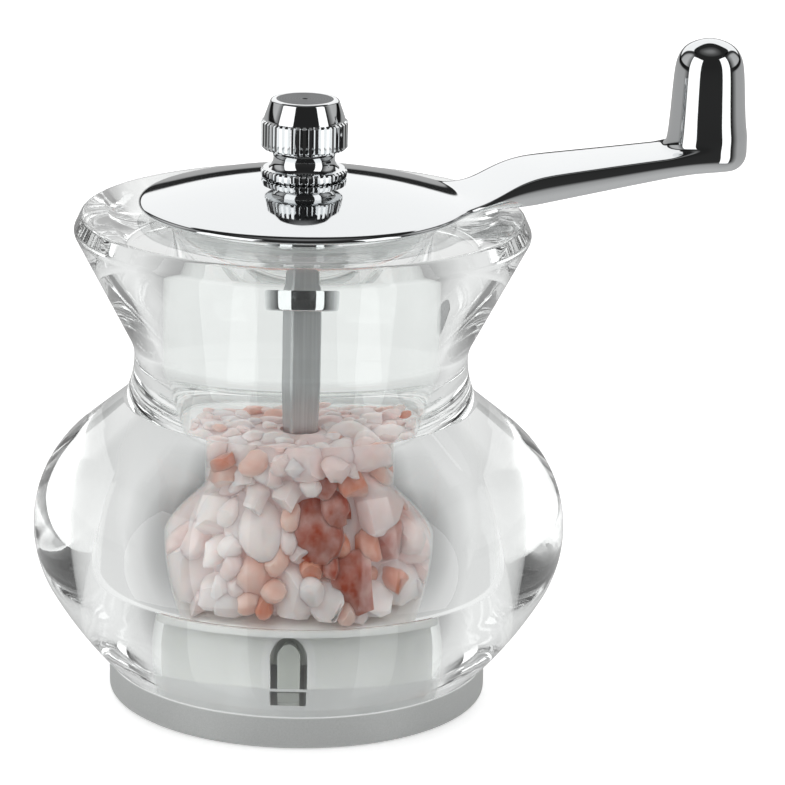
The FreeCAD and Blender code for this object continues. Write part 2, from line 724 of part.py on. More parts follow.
# Outlines of broken crystals, in shares of their size
CRYSTALS = [
    [(-0.52, -0.30), (0.10, -0.52), (0.50, -0.12), (0.34, 0.44), (-0.28, 0.50)],
    [(-0.46, -0.46), (0.40, -0.40), (0.52, 0.16), (0.04, 0.52), (-0.50, 0.22)],
    [(-0.30, -0.52), (0.44, -0.34), (0.48, 0.34), (-0.12, 0.52), (-0.52, 0.06)],
]


def crystal_outline(sketch, number, x, y):
    outline(sketch, [(f"{x} + {across} * crystal_size", f"{y} + {along} * crystal_size")
                     for across, along in CRYSTALS[number % len(CRYSTALS)]])


def salt_fill():
    # A core round the shaft, with coarse crystals standing out of its wall and its top
    body = new_body("salt_fill")
    low = f"({BAR_TOP} + seat_gap + bridge_head_height + salt_gap)"
    inner, core = f"({SHAFT_CORNER} + salt_gap)", "(chamber_radius - salt_gap - crystal_rise)"
    crown = "(salt_top - crystal_rise)"
    turn(body, "heap", [(inner, low), (core, low), (core, crown), (inner, crown)])
    stand = "crystal_rise + crystal_sink - salt_gap"
    rows, span = 3, f"(salt_top - {low} - crystal_size * 1.1)"
    for row in range(rows):
        height = f"({low} + crystal_size * 0.55 + {span} * {row} / {rows - 1})"
        pair = []
        for half in range(2):
            name = f"wall_{row}_{half}"
            swing = f"(180 / crystal_count * ({half} + {row} / {rows}))"
            sketch = new_sketch(body, name + "_outline", role="YZ_Plane")
            sketch.AttachmentOffset = FreeCAD.Placement(
                FreeCAD.Vector(), FreeCAD.Rotation(FreeCAD.Vector(0, 1, 0), value(swing)))
            sketch.setExpression("AttachmentOffset.Rotation.Angle", bound(swing))
            sketch.setExpression("AttachmentOffset.Base.x", bound(f"({core} - crystal_sink) * sin({swing})"))
            sketch.setExpression("AttachmentOffset.Base.z", bound(f"({core} - crystal_sink) * cos({swing})"))
            crystal_outline(sketch, row + half, "0", height)
            pair.append(tapered(body, name, sketch, stand, "crystal_taper"))
        round_copies(body, f"wall_{row}", pair, "crystal_count")
    rings = [("crown_count", "(chamber_radius - salt_gap - crystal_size * 0.9)"),
             ("inner_crown_count", f"({inner} + crystal_size * 0.6)")]
    for number, (count, away) in enumerate(rings):
        sketch = new_sketch(body, f"crown_{number}_outline", role="XY_Plane", lift=f"{crown} - crystal_sink")
        crystal_outline(sketch, number + 1, away, "0")
        lump = tapered(body, f"crown_{number}", sketch, "crystal_rise + crystal_sink", "crystal_taper")
        round_copies(body, f"crowns_{number}", [lump], count)
    return body


def arm_under(x):
    # Height of the arm's underside, which leaves the rim's level past the pot's lip
    return f"({LID_UNDER} + run_gap + ({x} - arm_under_start) * tan(arm_under_rise))"


def arm_section(body, name, x, top, low, half):
    # Flat on top, straight at the sides, a shallow belly below
    sketch = new_sketch(body, name, role="YZ_Plane", lift=x)
    belly = f"(arm_belly_ratio * ({top} - {low}))"
    outline(sketch, [
        (f"-{half}", top), (f"-{half}", f"{low} + {belly}"), (half, f"{low} + {belly}"), (half, top),
    ], {1: (f"({half}^2 + {belly}^2) / (2 * {belly})", -1)})
    return sketch


def crank_lid():
    body = new_body("crank_lid")
    # arm: a swan-necked loft that dips out of the rim, swells to a crest and rises straight to the knob
    crest_x = "(arm_dip_start + arm_dip_round * sin(arm_swell_angle))"
    crest_z = f"({RIM_TOP} + arm_dip_round * (1 - cos(arm_swell_angle)))"
    run_x = f"({crest_x} + arm_crest_round * (sin(arm_swell_angle) - sin(arm_rise)))"
    run_z = f"({crest_z} + arm_crest_round * (cos(arm_rise) - cos(arm_swell_angle)))"
    middle = f"(({run_x} + arm_reach) / 2)"
    under = f"({LID_UNDER} + run_gap)"
    stations = [
        arm_section(body, "arm_root", "arm_dip_start", f"{RIM_TOP} - seat_gap", under, "arm_root_half"),
        arm_section(body, "arm_swell", crest_x, crest_z, under, "arm_swell_half"),
        arm_section(body, "arm_crest", run_x, run_z, arm_under(run_x), "arm_crest_half"),
        arm_section(body, "arm_middle", middle, f"{run_z} + ({middle} - {run_x}) * tan(arm_rise)",
                    arm_under(middle), "arm_middle_half"),
        arm_section(body, "arm_tip", "arm_reach", f"{run_z} + (arm_reach - {run_x}) * tan(arm_rise)",
                    arm_under("arm_reach"), "arm_tip_half"),
    ]
    arm = body.newObject("PartDesign::AdditiveLoft", "arm")
    arm.Profile = stations[0]
    arm.Sections = stations[1:]
    doc.recompute()
    # the rim flares into the arm on both sides
    flare_y = "(arm_root_half + flare_round)"
    flare_x = f"sqrt((lid_radius + flare_round)^2 - {flare_y}^2)"
    touch = "lid_radius / (lid_radius + flare_round)"
    plan = new_sketch(body, "flare_outline", role="XY_Plane", lift=under)
    outline(plan, [
        (f"{flare_x} * {touch}", f"-{flare_y} * {touch}"),
        (flare_x, "-arm_root_half"),
        (flare_x, "arm_root_half"),
        (f"{flare_x} * {touch}", f"{flare_y} * {touch}"),
    ], {0: ("flare_round", 1), 2: ("flare_round", 1)})
    pad(body, "flare", plan, "rim_thickness - run_gap - seat_gap")
    turn(body, "dome", [
        ("0", f"{LID_UNDER} - hub_drop"),
        ("hub_radius", f"{LID_UNDER} - hub_drop"),
        ("hub_radius", LID_UNDER),
        (RIM_INNER, LID_UNDER),
        ("lid_radius", f"{LID_UNDER} + rim_thickness / 2"),
        (RIM_INNER, RIM_TOP),
        ("spot_radius", SPOT_TOP),
        ("0", SPOT_TOP),
    ], {3: ("rim_thickness / 2", -1), 4: ("rim_thickness / 2", -1), 5: (DOME_ROUND, -1)})
    recess = new_sketch(body, "recess_outline", role="XY_Plane", lift=LID_UNDER)
    circle(recess, "recess_radius")
    circle(recess, "hub_radius")
    pocket(body, "recess", recess, "recess_depth", backwards=True)
    foot = f"({arm_under('arm_reach')} - knob_sink)"
    turn(body, "knob", [
        ("0", foot),
        ("knob_base_radius - knob_foot_round", foot),
        ("knob_base_radius", f"{foot} + knob_foot_round"),
        ("knob_top_radius", f"{foot} + knob_height - knob_dome"),
        ("0", f"{foot} + knob_height"),
    ], {1: ("knob_foot_round", -1), 3: ("(knob_top_radius^2 + knob_dome^2) / (2 * knob_dome)", -1)},
        shift="arm_reach")
    socket = new_sketch(body, "socket_outline", role="XY_Plane", lift=f"{LID_UNDER} - hub_drop")
    half = "((shaft_side + 2 * fit_gap) / sqrt(2))"
    turns = [f"(shaft_turn + {45 + 90 * quarter})" for quarter in range(4)]
    outline(socket, [(f"{half} * cos{way}", f"{half} * sin{way}") for way in turns])
    pocket(body, "socket", socket, f"{SPOT_TOP} - {LID_UNDER} + hub_drop", backwards=True)
    return body


def lid_glide_ring():
    body = new_body("lid_glide_ring")
    outer, inner = "(chamber_radius - run_gap)", "(chamber_radius - run_gap - glide_wall)"
    top, low = f"({LID_UNDER} + recess_depth - seat_gap)", f"({POT_TOP} + seat_gap)"
    turn(body, "ring", [
        (inner, f"{POT_TOP} - glide_skirt"),
        (outer, f"{POT_TOP} - glide_skirt"),
        (outer, low),
        ("recess_radius - well_gap", low),
        ("recess_radius - well_gap", top),
        (inner, top),
    ])
    return body


def adjusting_nut():
    body = new_body("adjusting_nut")
    neck_low = f"({NUT_BASE} + nut_flange_height)"
    band_low = f"({NUT_BASE} + nut_flange_height + nut_neck_height)"
    band_top = f"({NUT_BASE} + nut_flange_height + nut_neck_height + nut_band_height)"
    crown = f"({NUT_BASE} + nut_flange_height + nut_neck_height + nut_band_height + nut_crown_height)"
    waist = f"({NUT_BASE} + nut_flange_height + nut_neck_height / 2)"
    neck_flare = "(nut_neck_radius + nut_neck_height / 4)"
    bore = "(thread_radius + fit_gap)"
    bore_top = f"({NUT_BASE} + thread_length + nut_bore_spare)"
    turn(body, "nut", [
        (bore, NUT_BASE),
        ("nut_flange_radius", NUT_BASE),
        ("nut_flange_radius", neck_low),
        (neck_flare, neck_low),
        (neck_flare, band_low),
        ("nut_band_radius", band_low),
        ("nut_band_radius", band_top),
        ("nut_top_radius", crown),
        ("nut_dimple", crown),
        ("0", f"{crown} - nut_dimple"),
        ("0", bore_top),
        (bore, bore_top),
    ], {3: ("((nut_neck_height / 2)^2 + (nut_neck_height / 4)^2) / (2 * (nut_neck_height / 4))", 1)})
    return body


parts = [
    clear_pot(),
    base_ring(),
    grinder_housing(),
    ring_burr(),
    burr_snap_ring(),
    bridge_bar(),
    bridge_bush(),
    bridge_screws(),
    washer("upper_spring_washer", UPPER_WASHER_TOP, f"{SHAFT_CORNER} + run_gap", "washer_radius",
           "washer_thickness"),
    salt_fill(),
    crank_lid(),
    lid_glide_ring(),
    adjusting_nut(),
    drive_shaft(),
    rotor_carrier(),
    rotor_burr(),
    washer("lower_spring_washer", f"{COLLAR_TOP} + seat_gap + washer_thickness", f"{SHAFT_CORNER} + run_gap",
           "washer_radius", "washer_thickness"),
    rotor_spring(),
    washer("rotor_washer", END_WASHER_TOP, "rotor_screw_radius + run_gap", "end_washer_radius",
           "end_washer_thickness"),
    rotor_screw(),
]

for label in ("drive_shaft", "rotor_carrier", "rotor_burr"):
    piece = next(item for item in parts if item.Label == label)
    piece.Placement.Rotation = FreeCAD.Rotation(FreeCAD.Vector(0, 0, 1), value("shaft_turn"))
    piece.setExpression("Placement.Rotation.Angle", bound("shaft_turn"))
doc.recompute()

failed = [item.Label for item in doc.Objects if {"Invalid", "Error"} & set(item.State)]
failed += [item.Label for item in parts if item.Shape.isNull() or not item.Shape.isValid()]
if failed:
    raise RuntimeError("not built: " + ", ".join(failed))

os.makedirs("parts", exist_ok=True)
for item in parts:
    item.Shape.exportStep(os.path.join("parts", item.Label + ".step"))
    print(f"{item.Label}: {len(item.Shape.Solids)} solid, {item.Shape.Volume:.1f} mm3")
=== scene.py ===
import math
import random
import bmesh
import bpy
from mathutils import Matrix, Vector


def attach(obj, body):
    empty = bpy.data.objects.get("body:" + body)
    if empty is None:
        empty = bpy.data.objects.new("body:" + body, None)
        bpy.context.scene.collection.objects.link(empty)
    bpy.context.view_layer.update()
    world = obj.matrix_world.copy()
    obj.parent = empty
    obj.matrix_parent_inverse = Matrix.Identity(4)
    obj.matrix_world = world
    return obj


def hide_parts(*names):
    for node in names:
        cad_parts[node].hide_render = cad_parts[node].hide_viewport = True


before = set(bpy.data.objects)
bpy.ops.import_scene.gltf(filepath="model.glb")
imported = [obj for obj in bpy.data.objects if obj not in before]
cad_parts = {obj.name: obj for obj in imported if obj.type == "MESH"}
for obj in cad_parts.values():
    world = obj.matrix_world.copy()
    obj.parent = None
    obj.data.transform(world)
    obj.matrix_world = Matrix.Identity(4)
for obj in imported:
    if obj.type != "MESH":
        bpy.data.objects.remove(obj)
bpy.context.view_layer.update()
mm = 0.001


def linear(hexColour):
    # sRGB hex to the linear colour that shaders take
    parts = [int(hexColour[i:i + 2], 16) / 255 for i in (1, 3, 5)]
    return [p / 12.92 if p <= 0.04045 else ((p + 0.055) / 1.055) ** 2.4 for p in parts] + [1.0]


def addNode(owner, kind, settings=None, inputs=None, links=None, stops=None):
    # one node with its settings, constant sockets, links and, on a ramp, its stops from low to high
    tree = owner.node_tree
    node = tree.nodes.new(kind)
    for name, value in (settings or {}).items():
        setattr(node, name, value)
    for name, value in (inputs or {}).items():
        node.inputs[name].default_value = value
    for name, source in (links or {}).items():
        tree.links.new(source, node.inputs[name])
    for number, (position, colour) in enumerate(stops or ()):
        marks = node.color_ramp.elements
        mark = marks[number] if number < 2 else marks.new(position)
        mark.position, mark.color = position, colour
    return node


def startMaterial(name):
    material = bpy.data.materials.new(name)
    material.use_nodes = True
    material.node_tree.nodes.clear()
    place = addNode(material, "ShaderNodeTexCoord").outputs["Object"]
    return material, place


def endMaterial(material, shader):
    addNode(material, "ShaderNodeOutputMaterial", links={"Surface": shader.outputs["BSDF"]})
    return material


def deselectAll():
    if bpy.context.object and bpy.context.object.mode != "OBJECT":
        bpy.ops.object.mode_set(mode="OBJECT")
    bpy.ops.object.select_all(action="DESELECT")


def pickFaces(mesh, wanted):
    # selects faces by their middle, in mm, and their normal
    mesh.normal_update()
    chosen = [face for face in mesh.faces if wanted(face.calc_center_median() / mm, face.normal)]
    for face in mesh.faces:
        face.select_set(False)
    for face in chosen:
        face.select_set(True)


def arcPoints(centre, radius, start, end, count):
    turns = [math.radians(start + (end - start) * i / count) for i in range(count + 1)]
    return [(centre[0] + radius * math.cos(t), centre[1] + radius * math.sin(t)) for t in turns]


def roundOff(before, corner, after, radius, count=4):
    # a small fillet between two straight runs of a profile
    b, c, a = Vector(before), Vector(corner), Vector(after)
    toB, toA = (b - c).normalized(), (a - c).normalized()
    half = toB.angle(toA) / 2
    reach = radius / math.tan(half)
    middle = c + (toB + toA).normalized() * radius / math.sin(half)
    first, last = c + toB * reach - middle, c + toA * reach - middle
    start = math.atan2(first.y, first.x)
    sweep = first.angle_signed(last) * -1
    return [(middle.x + radius * math.cos(start + sweep * i / count),
             middle.y + radius * math.sin(start + sweep * i / count)) for i in range(count + 1)]


def latheProfile(name, profile, steps):
    # one vertex is drawn out along the profile, in mm, then spun about the axis
    deselectAll()
    bpy.ops.mesh.primitive_plane_add(size=mm, location=(0, 0, 0))
    piece = bpy.context.object
    piece.name = name
    bpy.ops.object.mode_set(mode="EDIT")
    bpy.ops.mesh.merge(type="CENTER")
    bpy.ops.transform.translate(value=(profile[0][0] * mm, 0, profile[0][1] * mm))
    for here, there in zip(profile, profile[1:]):
        move = ((there[0] - here[0]) * mm, 0, (there[1] - here[1]) * mm)
        bpy.ops.mesh.extrude_vertices_move(TRANSFORM_OT_translate={"value": move})
    bpy.ops.mesh.select_all(action="SELECT")
    bpy.ops.mesh.remove_doubles(threshold=0.002 * mm)
    bpy.ops.mesh.spin(steps=steps, angle=2 * math.pi, center=(0, 0, 0), axis=(0, 0, 1))
    bpy.ops.mesh.select_all(action="SELECT")
    bpy.ops.mesh.remove_doubles(threshold=0.004 * mm)
    bpy.ops.mesh.normals_make_consistent(inside=False)
    bpy.ops.mesh.select_all(action="DESELECT")
    bpy.ops.object.mode_set(mode="OBJECT")
    return piece


def finishPiece(piece, material, body, slot, *nodes, angle=35):
    deselectAll()
    piece.select_set(True)
    bpy.context.view_layer.objects.active = piece
    bpy.ops.object.shade_smooth_by_angle(angle=math.radians(angle))
    if not piece.data.materials:
        piece.data.materials.append(material)
    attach(piece, body)
    if nodes:
        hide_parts(*nodes)
    print("made", piece.name, len(piece.data.polygons), "faces")


# cast acrylic, turned and polished: clear, with dark edges where it bends the room, and faint turning waves
def castAcrylic():
    material, place = startMaterial("castAcrylic")
    waves = addNode(material, "ShaderNodeTexNoise", inputs={"Scale": 1 / (9 * mm), "Detail": 1.0},
                    links={"Vector": place})
    bump = addNode(material, "ShaderNodeBump", inputs={"Strength": 0.05, "Distance": 0.2 * mm},
                   links={"Height": waves.outputs["Fac"]})
    shader = addNode(material, "ShaderNodeBsdfPrincipled",
                     inputs={"Base Color": linear("#fcfefd"), "Roughness": 0.0, "IOR": 1.49,
                             "Transmission Weight": 1.0},
                     links={"Normal": bump.outputs["Normal"]})
    return endMaterial(material, shader)


# bright chrome on a polished zinc casting: mirror sharp, a trace of orange peel, thin haze from handling
def brightChrome():
    material, place = startMaterial("brightChrome")
    peel = addNode(material, "ShaderNodeTexNoise", inputs={"Scale": 1 / (3.5 * mm), "Detail": 1.0},
                   links={"Vector": place})
    bump = addNode(material, "ShaderNodeBump", inputs={"Strength": 0.03, "Distance": 0.1 * mm},
                   links={"Height": peel.outputs["Fac"]})
    haze = addNode(material, "ShaderNodeTexNoise", inputs={"Scale": 1 / (14 * mm), "Detail": 4.0},
                   links={"Vector": place})
    gloss = addNode(material, "ShaderNodeMapRange", inputs={"To Min": 0.02, "To Max": 0.07},
                    links={"Value": haze.outputs["Fac"]})
    shader = addNode(material, "ShaderNodeBsdfPrincipled",
                     inputs={"Base Color": linear("#dfe1e2"), "Metallic": 1.0},
                     links={"Roughness": gloss.outputs["Result"], "Normal": bump.outputs["Normal"]})
    return endMaterial(material, shader)


# the lid's underside in its recess: dark grey satin metal, far darker than the chrome, grain about 0.4 mm
def dullCasting():
    material, place = startMaterial("dullCasting")
    grain = addNode(material, "ShaderNodeTexNoise", inputs={"Scale": 1 / (0.4 * mm), "Detail": 3.0},
                    links={"Vector": place})
    shade = addNode(material, "ShaderNodeValToRGB", links={"Fac": grain.outputs["Fac"]},
                    stops=((0, linear("#505254")), (1, linear("#707274"))))
    bump = addNode(material, "ShaderNodeBump", inputs={"Strength": 0.2, "Distance": 0.05 * mm},
                   links={"Height": grain.outputs["Fac"]})
    shader = addNode(material, "ShaderNodeBsdfPrincipled", inputs={"Metallic": 1.0, "Roughness": 0.35},
                     links={"Base Color": shade.outputs["Color"], "Normal": bump.outputs["Normal"]})
    return endMaterial(material, shader)


# the nut's faced end, chromed over turning marks: dark satin with fine rings about 0.5 mm apart
def turnedChrome():
    material, place = startMaterial("turnedChrome")
    rings = addNode(material, "ShaderNodeTexWave",
                    {"wave_type": "RINGS", "rings_direction": "Z", "wave_profile": "SIN"},
                    {"Scale": 2 * math.pi / (20 * 0.5 * mm), "Distortion": 0.0}, {"Vector": place})
    bump = addNode(material, "ShaderNodeBump", inputs={"Strength": 0.35, "Distance": 0.05 * mm},
                   links={"Height": rings.outputs["Fac"]})
    shade = addNode(material, "ShaderNodeValToRGB", links={"Fac": rings.outputs["Fac"]},
                    stops=((0, linear("#4c4d4f")), (1, linear("#77797b"))))
    shader = addNode(material, "ShaderNodeBsdfPrincipled", inputs={"Metallic": 1.0, "Roughness": 0.38},
                     links={"Base Color": shade.outputs["Color"], "Normal": bump.outputs["Normal"]})
    return endMaterial(material, shader)


# ABS in silver-grey satin lacquer: even, soft sheen, flake grain of about 0.25 mm; painted light above the ledge,
# where the spigot is painted paler as if lit
def satinGrey():
    material, place = startMaterial("satinGreyLacquer")
    flake = addNode(material, "ShaderNodeTexNoise", inputs={"Scale": 1 / (0.25 * mm), "Detail": 2.0},
                    links={"Vector": place})
    shade = addNode(material, "ShaderNodeValToRGB", links={"Fac": flake.outputs["Fac"]},
                    stops=((0, linear("#a0a2a1")), (1, linear("#b6b8b7"))))
    bump = addNode(material, "ShaderNodeBump", inputs={"Strength": 0.12, "Distance": 0.03 * mm},
                   links={"Height": flake.outputs["Fac"]})
    # painted light: above the ledge the lacquer is painted near white, a painted highlight on the spigot
    height = addNode(material, "ShaderNodeSeparateXYZ", links={"Vector": place}).outputs["Z"]
    paintedLightAbove = addNode(material, "ShaderNodeMapRange", inputs={"From Min": 5.7 * mm, "From Max": 6.0 * mm},
                   links={"Value": height})
    tone = addNode(material, "ShaderNodeMix", {"data_type": "RGBA"}, {"B": linear("#eceded")},
                   {"Factor": paintedLightAbove.outputs["Result"], "A": shade.outputs["Color"]})
    shader = addNode(material, "ShaderNodeBsdfPrincipled", inputs={"Metallic": 0.12, "Roughness": 0.42},
                     links={"Base Color": tone.outputs[2], "Normal": bump.outputs["Normal"]})
    return endMaterial(material, shader)


# the housing's tongues in mm: how they stand, then the painted shade and painted highlight outwards from each one's
# middle, the tongue painted darker and the rim of its slot painted lighter
tongueSizes = {"count": 3, "turn": -101.0, "radius": 23.55, "crown": 19.7, "rise": 20.0, "reach": 8.0,
               "paintedShadeAndHighlight": ((0, "#d2d5d1"), (2.7, "#d2d5d1"), (2.8, "#ffffff"), (3.9, "#ffffff"),
                          (4.3, "#f8f9f8"), (8.0, "#f8f9f8"))}


# natural nylon, moulded: milky white that light soaks into, with slow flow clouds
def naturalNylon(name="naturalNylon", tongues=None):
    material, place = startMaterial(name)
    clouds = addNode(material, "ShaderNodeTexNoise", inputs={"Scale": 1 / (7 * mm), "Detail": 3.0},
                     links={"Vector": place})
    shade = addNode(material, "ShaderNodeValToRGB", links={"Fac": clouds.outputs["Fac"]},
                    stops=((0, linear("#eff0ee")), (1, linear("#fafaf9"))))
    tone = shade.outputs["Color"]
    if tongues:      # painted shade on the thin tongues, standing in for the works behind; painted highlight on the rims of their slots
        split = addNode(material, "ShaderNodeSeparateXYZ", links={"Vector": place}).outputs
        around = addNode(material, "ShaderNodeMath", {"operation": "ARCTAN2"}, links={0: split["Y"], 1: split["X"]})
        offset = addNode(material, "ShaderNodeMath", {"operation": "SUBTRACT"}, {1: math.radians(tongues["turn"])},
                         {0: around.outputs["Value"]})
        nearest = addNode(material, "ShaderNodeMath", {"operation": "PINGPONG"}, {1: math.pi / tongues["count"]},
                          {0: offset.outputs["Value"]})
        arc = addNode(material, "ShaderNodeMath", {"operation": "MULTIPLY"}, {1: tongues["radius"]},
                      {0: nearest.outputs["Value"]})
        crown, span = tongues["crown"], tongues["rise"]
        rise = addNode(material, "ShaderNodeMapRange",
                       inputs={"From Min": crown * mm, "From Max": (crown + span) * mm, "To Max": span},
                       links={"Value": split["Z"]})
        both = addNode(material, "ShaderNodeCombineXYZ",
                       links={"X": arc.outputs["Value"], "Y": rise.outputs["Result"]})
        reach = addNode(material, "ShaderNodeVectorMath", {"operation": "LENGTH"}, links={0: both.outputs["Vector"]})
        slot = addNode(material, "ShaderNodeMapRange", inputs={"From Max": tongues["reach"]},
                       links={"Value": reach.outputs["Value"]})
        # painted light: each tongue is painted darker and the rim of its slot lighter
        band = addNode(material, "ShaderNodeValToRGB", links={"Fac": slot.outputs["Result"]},
                       stops=[(spot / tongues["reach"], linear(colour)) for spot, colour in tongues["paintedShadeAndHighlight"]])
        tone = addNode(material, "ShaderNodeMix", {"data_type": "RGBA", "blend_type": "MULTIPLY"}, {0: 1.0},
                       {6: tone, 7: band.outputs["Color"]}).outputs[2]
    grain = addNode(material, "ShaderNodeTexNoise", inputs={"Scale": 1 / (0.5 * mm), "Detail": 2.0},
                    links={"Vector": place})
    bump = addNode(material, "ShaderNodeBump", inputs={"Strength": 0.1, "Distance": 0.05 * mm},
                   links={"Height": grain.outputs["Fac"]})
    shader = addNode(material, "ShaderNodeBsdfPrincipled",
                     inputs={"Roughness": 0.38, "IOR": 1.53, "Subsurface Weight": 0.5,
                             "Subsurface Radius": (1.0, 1.0, 0.9), "Subsurface Scale": 1.5 * mm},
                     links={"Base Color": tone, "Normal": bump.outputs["Normal"]})
    return endMaterial(material, shader)


# clear polycarbonate, moulded thin: see-through, with a faint skin of mould texture
def clearPolycarbonate():
    material, place = startMaterial("clearPolycarbonate")
    skin = addNode(material, "ShaderNodeTexNoise", inputs={"Scale": 1 / (4 * mm), "Detail": 2.0},
                   links={"Vector": place})
    bump = addNode(material, "ShaderNodeBump", inputs={"Strength": 0.04, "Distance": 0.05 * mm},
                   links={"Height": skin.outputs["Fac"]})
    shader = addNode(material, "ShaderNodeBsdfPrincipled",
                     inputs={"Base Color": linear("#f6f8f8"), "Roughness": 0.02, "IOR": 1.3,
                             "Transmission Weight": 1.0},
                     links={"Normal": bump.outputs["Normal"]})
    return endMaterial(material, shader)


# sintered alumina: chalky off-white with a fine grit
def burrCeramic():
    material, place = startMaterial("sinteredCeramic")
    grit = addNode(material, "ShaderNodeTexNoise", inputs={"Scale": 1 / (0.35 * mm), "Detail": 4.0},
                   links={"Vector": place})
    shade = addNode(material, "ShaderNodeValToRGB", links={"Fac": grit.outputs["Fac"]},
                    stops=((0, linear("#d8d3c8")), (1, linear("#efece4"))))
    bump = addNode(material, "ShaderNodeBump", inputs={"Strength": 0.3, "Distance": 0.05 * mm},
                   links={"Height": grit.outputs["Fac"]})
    shader = addNode(material, "ShaderNodeBsdfPrincipled", inputs={"Roughness": 0.6, "IOR": 1.76},
                     links={"Base Color": shade.outputs["Color"], "Normal": bump.outputs["Normal"]})
    return endMaterial(material, shader)


# drawn stainless steel: grey sheen with long scratches along the bar, drawn 0.3 mm wide so they show
def drawnSteel():
    material, place = startMaterial("drawnSteel")
    along = addNode(material, "ShaderNodeMapping", inputs={"Scale": (1 / (0.3 * mm), 1 / (0.3 * mm), 1 / (25 * mm))},
                    links={"Vector": place})
    scratches = addNode(material, "ShaderNodeTexNoise", inputs={"Scale": 1.0, "Detail": 3.0},
                        links={"Vector": along.outputs["Vector"]})
    shade = addNode(material, "ShaderNodeValToRGB", links={"Fac": scratches.outputs["Fac"]},
                    stops=((0, linear("#b2b4b5")), (1, linear("#e2e4e5"))))
    gloss = addNode(material, "ShaderNodeMapRange", inputs={"To Min": 0.4, "To Max": 0.58},
                    links={"Value": scratches.outputs["Fac"]})
    bump = addNode(material, "ShaderNodeBump", inputs={"Strength": 0.15, "Distance": 0.03 * mm},
                   links={"Height": scratches.outputs["Fac"]})
    shader = addNode(material, "ShaderNodeBsdfPrincipled", inputs={"Metallic": 1.0},
                     links={"Base Color": shade.outputs["Color"], "Roughness": gloss.outputs["Result"],
                            "Normal": bump.outputs["Normal"]})
    return endMaterial(material, shader)


# broken rock salt: each crystal its own pink, cloudy veins, waxy broken faces, and a faint painted glow in the
# crystal's own colour, standing in for light scattered inside
def rockSalt():
    material, place = startMaterial("rockSalt")
    tint = addNode(material, "ShaderNodeVertexColor", {"layer_name": "tint"})
    veins = addNode(material, "ShaderNodeTexNoise", inputs={"Scale": 1 / (2.2 * mm), "Detail": 4.0},
                    links={"Vector": place})
    pale = addNode(material, "ShaderNodeMapRange", inputs={"From Min": 0.35, "From Max": 0.75, "To Max": 0.4},
                   links={"Value": veins.outputs["Fac"]})
    shade = addNode(material, "ShaderNodeMix", {"data_type": "RGBA"}, {"B": linear("#f4e9e5")},
                    {"Factor": pale.outputs["Result"], "A": tint.outputs["Color"]})
    chips = addNode(material, "ShaderNodeTexNoise", inputs={"Scale": 1 / (0.9 * mm), "Detail": 3.0},
                    links={"Vector": place})
    bump = addNode(material, "ShaderNodeBump", inputs={"Strength": 0.3, "Distance": 0.15 * mm},
                   links={"Height": chips.outputs["Fac"]})
    # painted light: a faint emission in the salt's own colour, a painted glow for light scattered inside
    shader = addNode(material, "ShaderNodeBsdfPrincipled",
                     inputs={"Roughness": 0.34, "IOR": 1.54, "Subsurface Weight": 0.8,
                             "Subsurface Radius": (1.0, 0.7, 0.6), "Subsurface Scale": 2.5 * mm,
                             "Transmission Weight": 0.12, "Sheen Weight": 0.7, "Sheen Roughness": 0.3,
                             "Emission Strength": 0.05},
                     links={"Base Color": shade.outputs[2], "Emission Color": shade.outputs[2],
                            "Normal": bump.outputs["Normal"]})
    return endMaterial(material, shader)


acrylic = castAcrylic()
chrome = brightChrome()
dull = dullCasting()
turned = turnedChrome()
satin = satinGrey()
nylon = naturalNylon()
housingNylonPaintedLight = naturalNylon("housingNylonPaintedLight", tongueSizes)
ceramic = burrCeramic()
steel = drawnSteel()
polycarbonate = clearPolycarbonate()
salt = rockSalt()
print("materials ready")

# clear pot, one thick turning: bulb, waist, flared cone and a sloped lip
potSizes = {"foot": (34.6, 6.1), "bulbCentre": (26.7, 31.4), "bulbRound": 21.7, "underCentre": (-17.62, 56.79),
            "underRound": 72.76, "crease": (32.0, 55.1), "waist": (30.15, 63.0), "waistRound": 17.8,
            "neckRound": 8.0, "lipCentre": (39.4, 86.19), "lipRound": 1.6, "coneAngle": 27.5, "lipFace": 25.0,
            "top": 89.3, "seatEdge": 39.72, "bore": 24.2, "boreHeights": (80, 70, 60, 50), "swell": 1.35,
            "bellyRound": 17.5, "bellyRise": 4.95, "boreRound": 36.5, "well": 25.2, "wellTop": 23.6,
            # where the outside's arcs start and end, in degrees, and the small rounds at its corners
            "underStart": -44.16, "underEnd": -29.8, "bulbEnd": 50.7, "waistStart": 206.35,
            "edge": 0.3, "creaseRound": 0.6, "seatRound": 0.8, "mouthRound": 0.4, "steps": 192}


def chamberWall():
    # the chamber from the neck's bore down: a soft shoulder, then a belly that swells inside the bulb
    s = potSizes
    reach = s["bellyRound"] + s["boreRound"]
    lean = math.acos((reach - s["swell"]) / reach)
    middle = (s["bore"] + s["swell"] - s["bellyRound"], s["wellTop"] + s["bellyRise"])
    shoulder = (s["bore"] + s["boreRound"], middle[1] + reach * math.sin(lean))
    upper, lower = math.degrees(lean), -math.degrees(math.asin(s["bellyRise"] / s["bellyRound"]))
    wall = [(s["bore"], z) for z in s["boreHeights"]]
    wall += arcPoints(shoulder, s["boreRound"], 180, 180 + upper, 8)
    return wall + arcPoints(middle, s["bellyRound"], upper, lower, 24)[1:]


def chamberRadius(height):
    wall = chamberWall()
    for (r0, z0), (r1, z1) in zip(wall, wall[1:]):
        if z0 >= height >= z1:
            return r0 + (r1 - r0) * (z0 - height) / (z0 - z1)
    return wall[-1][0]


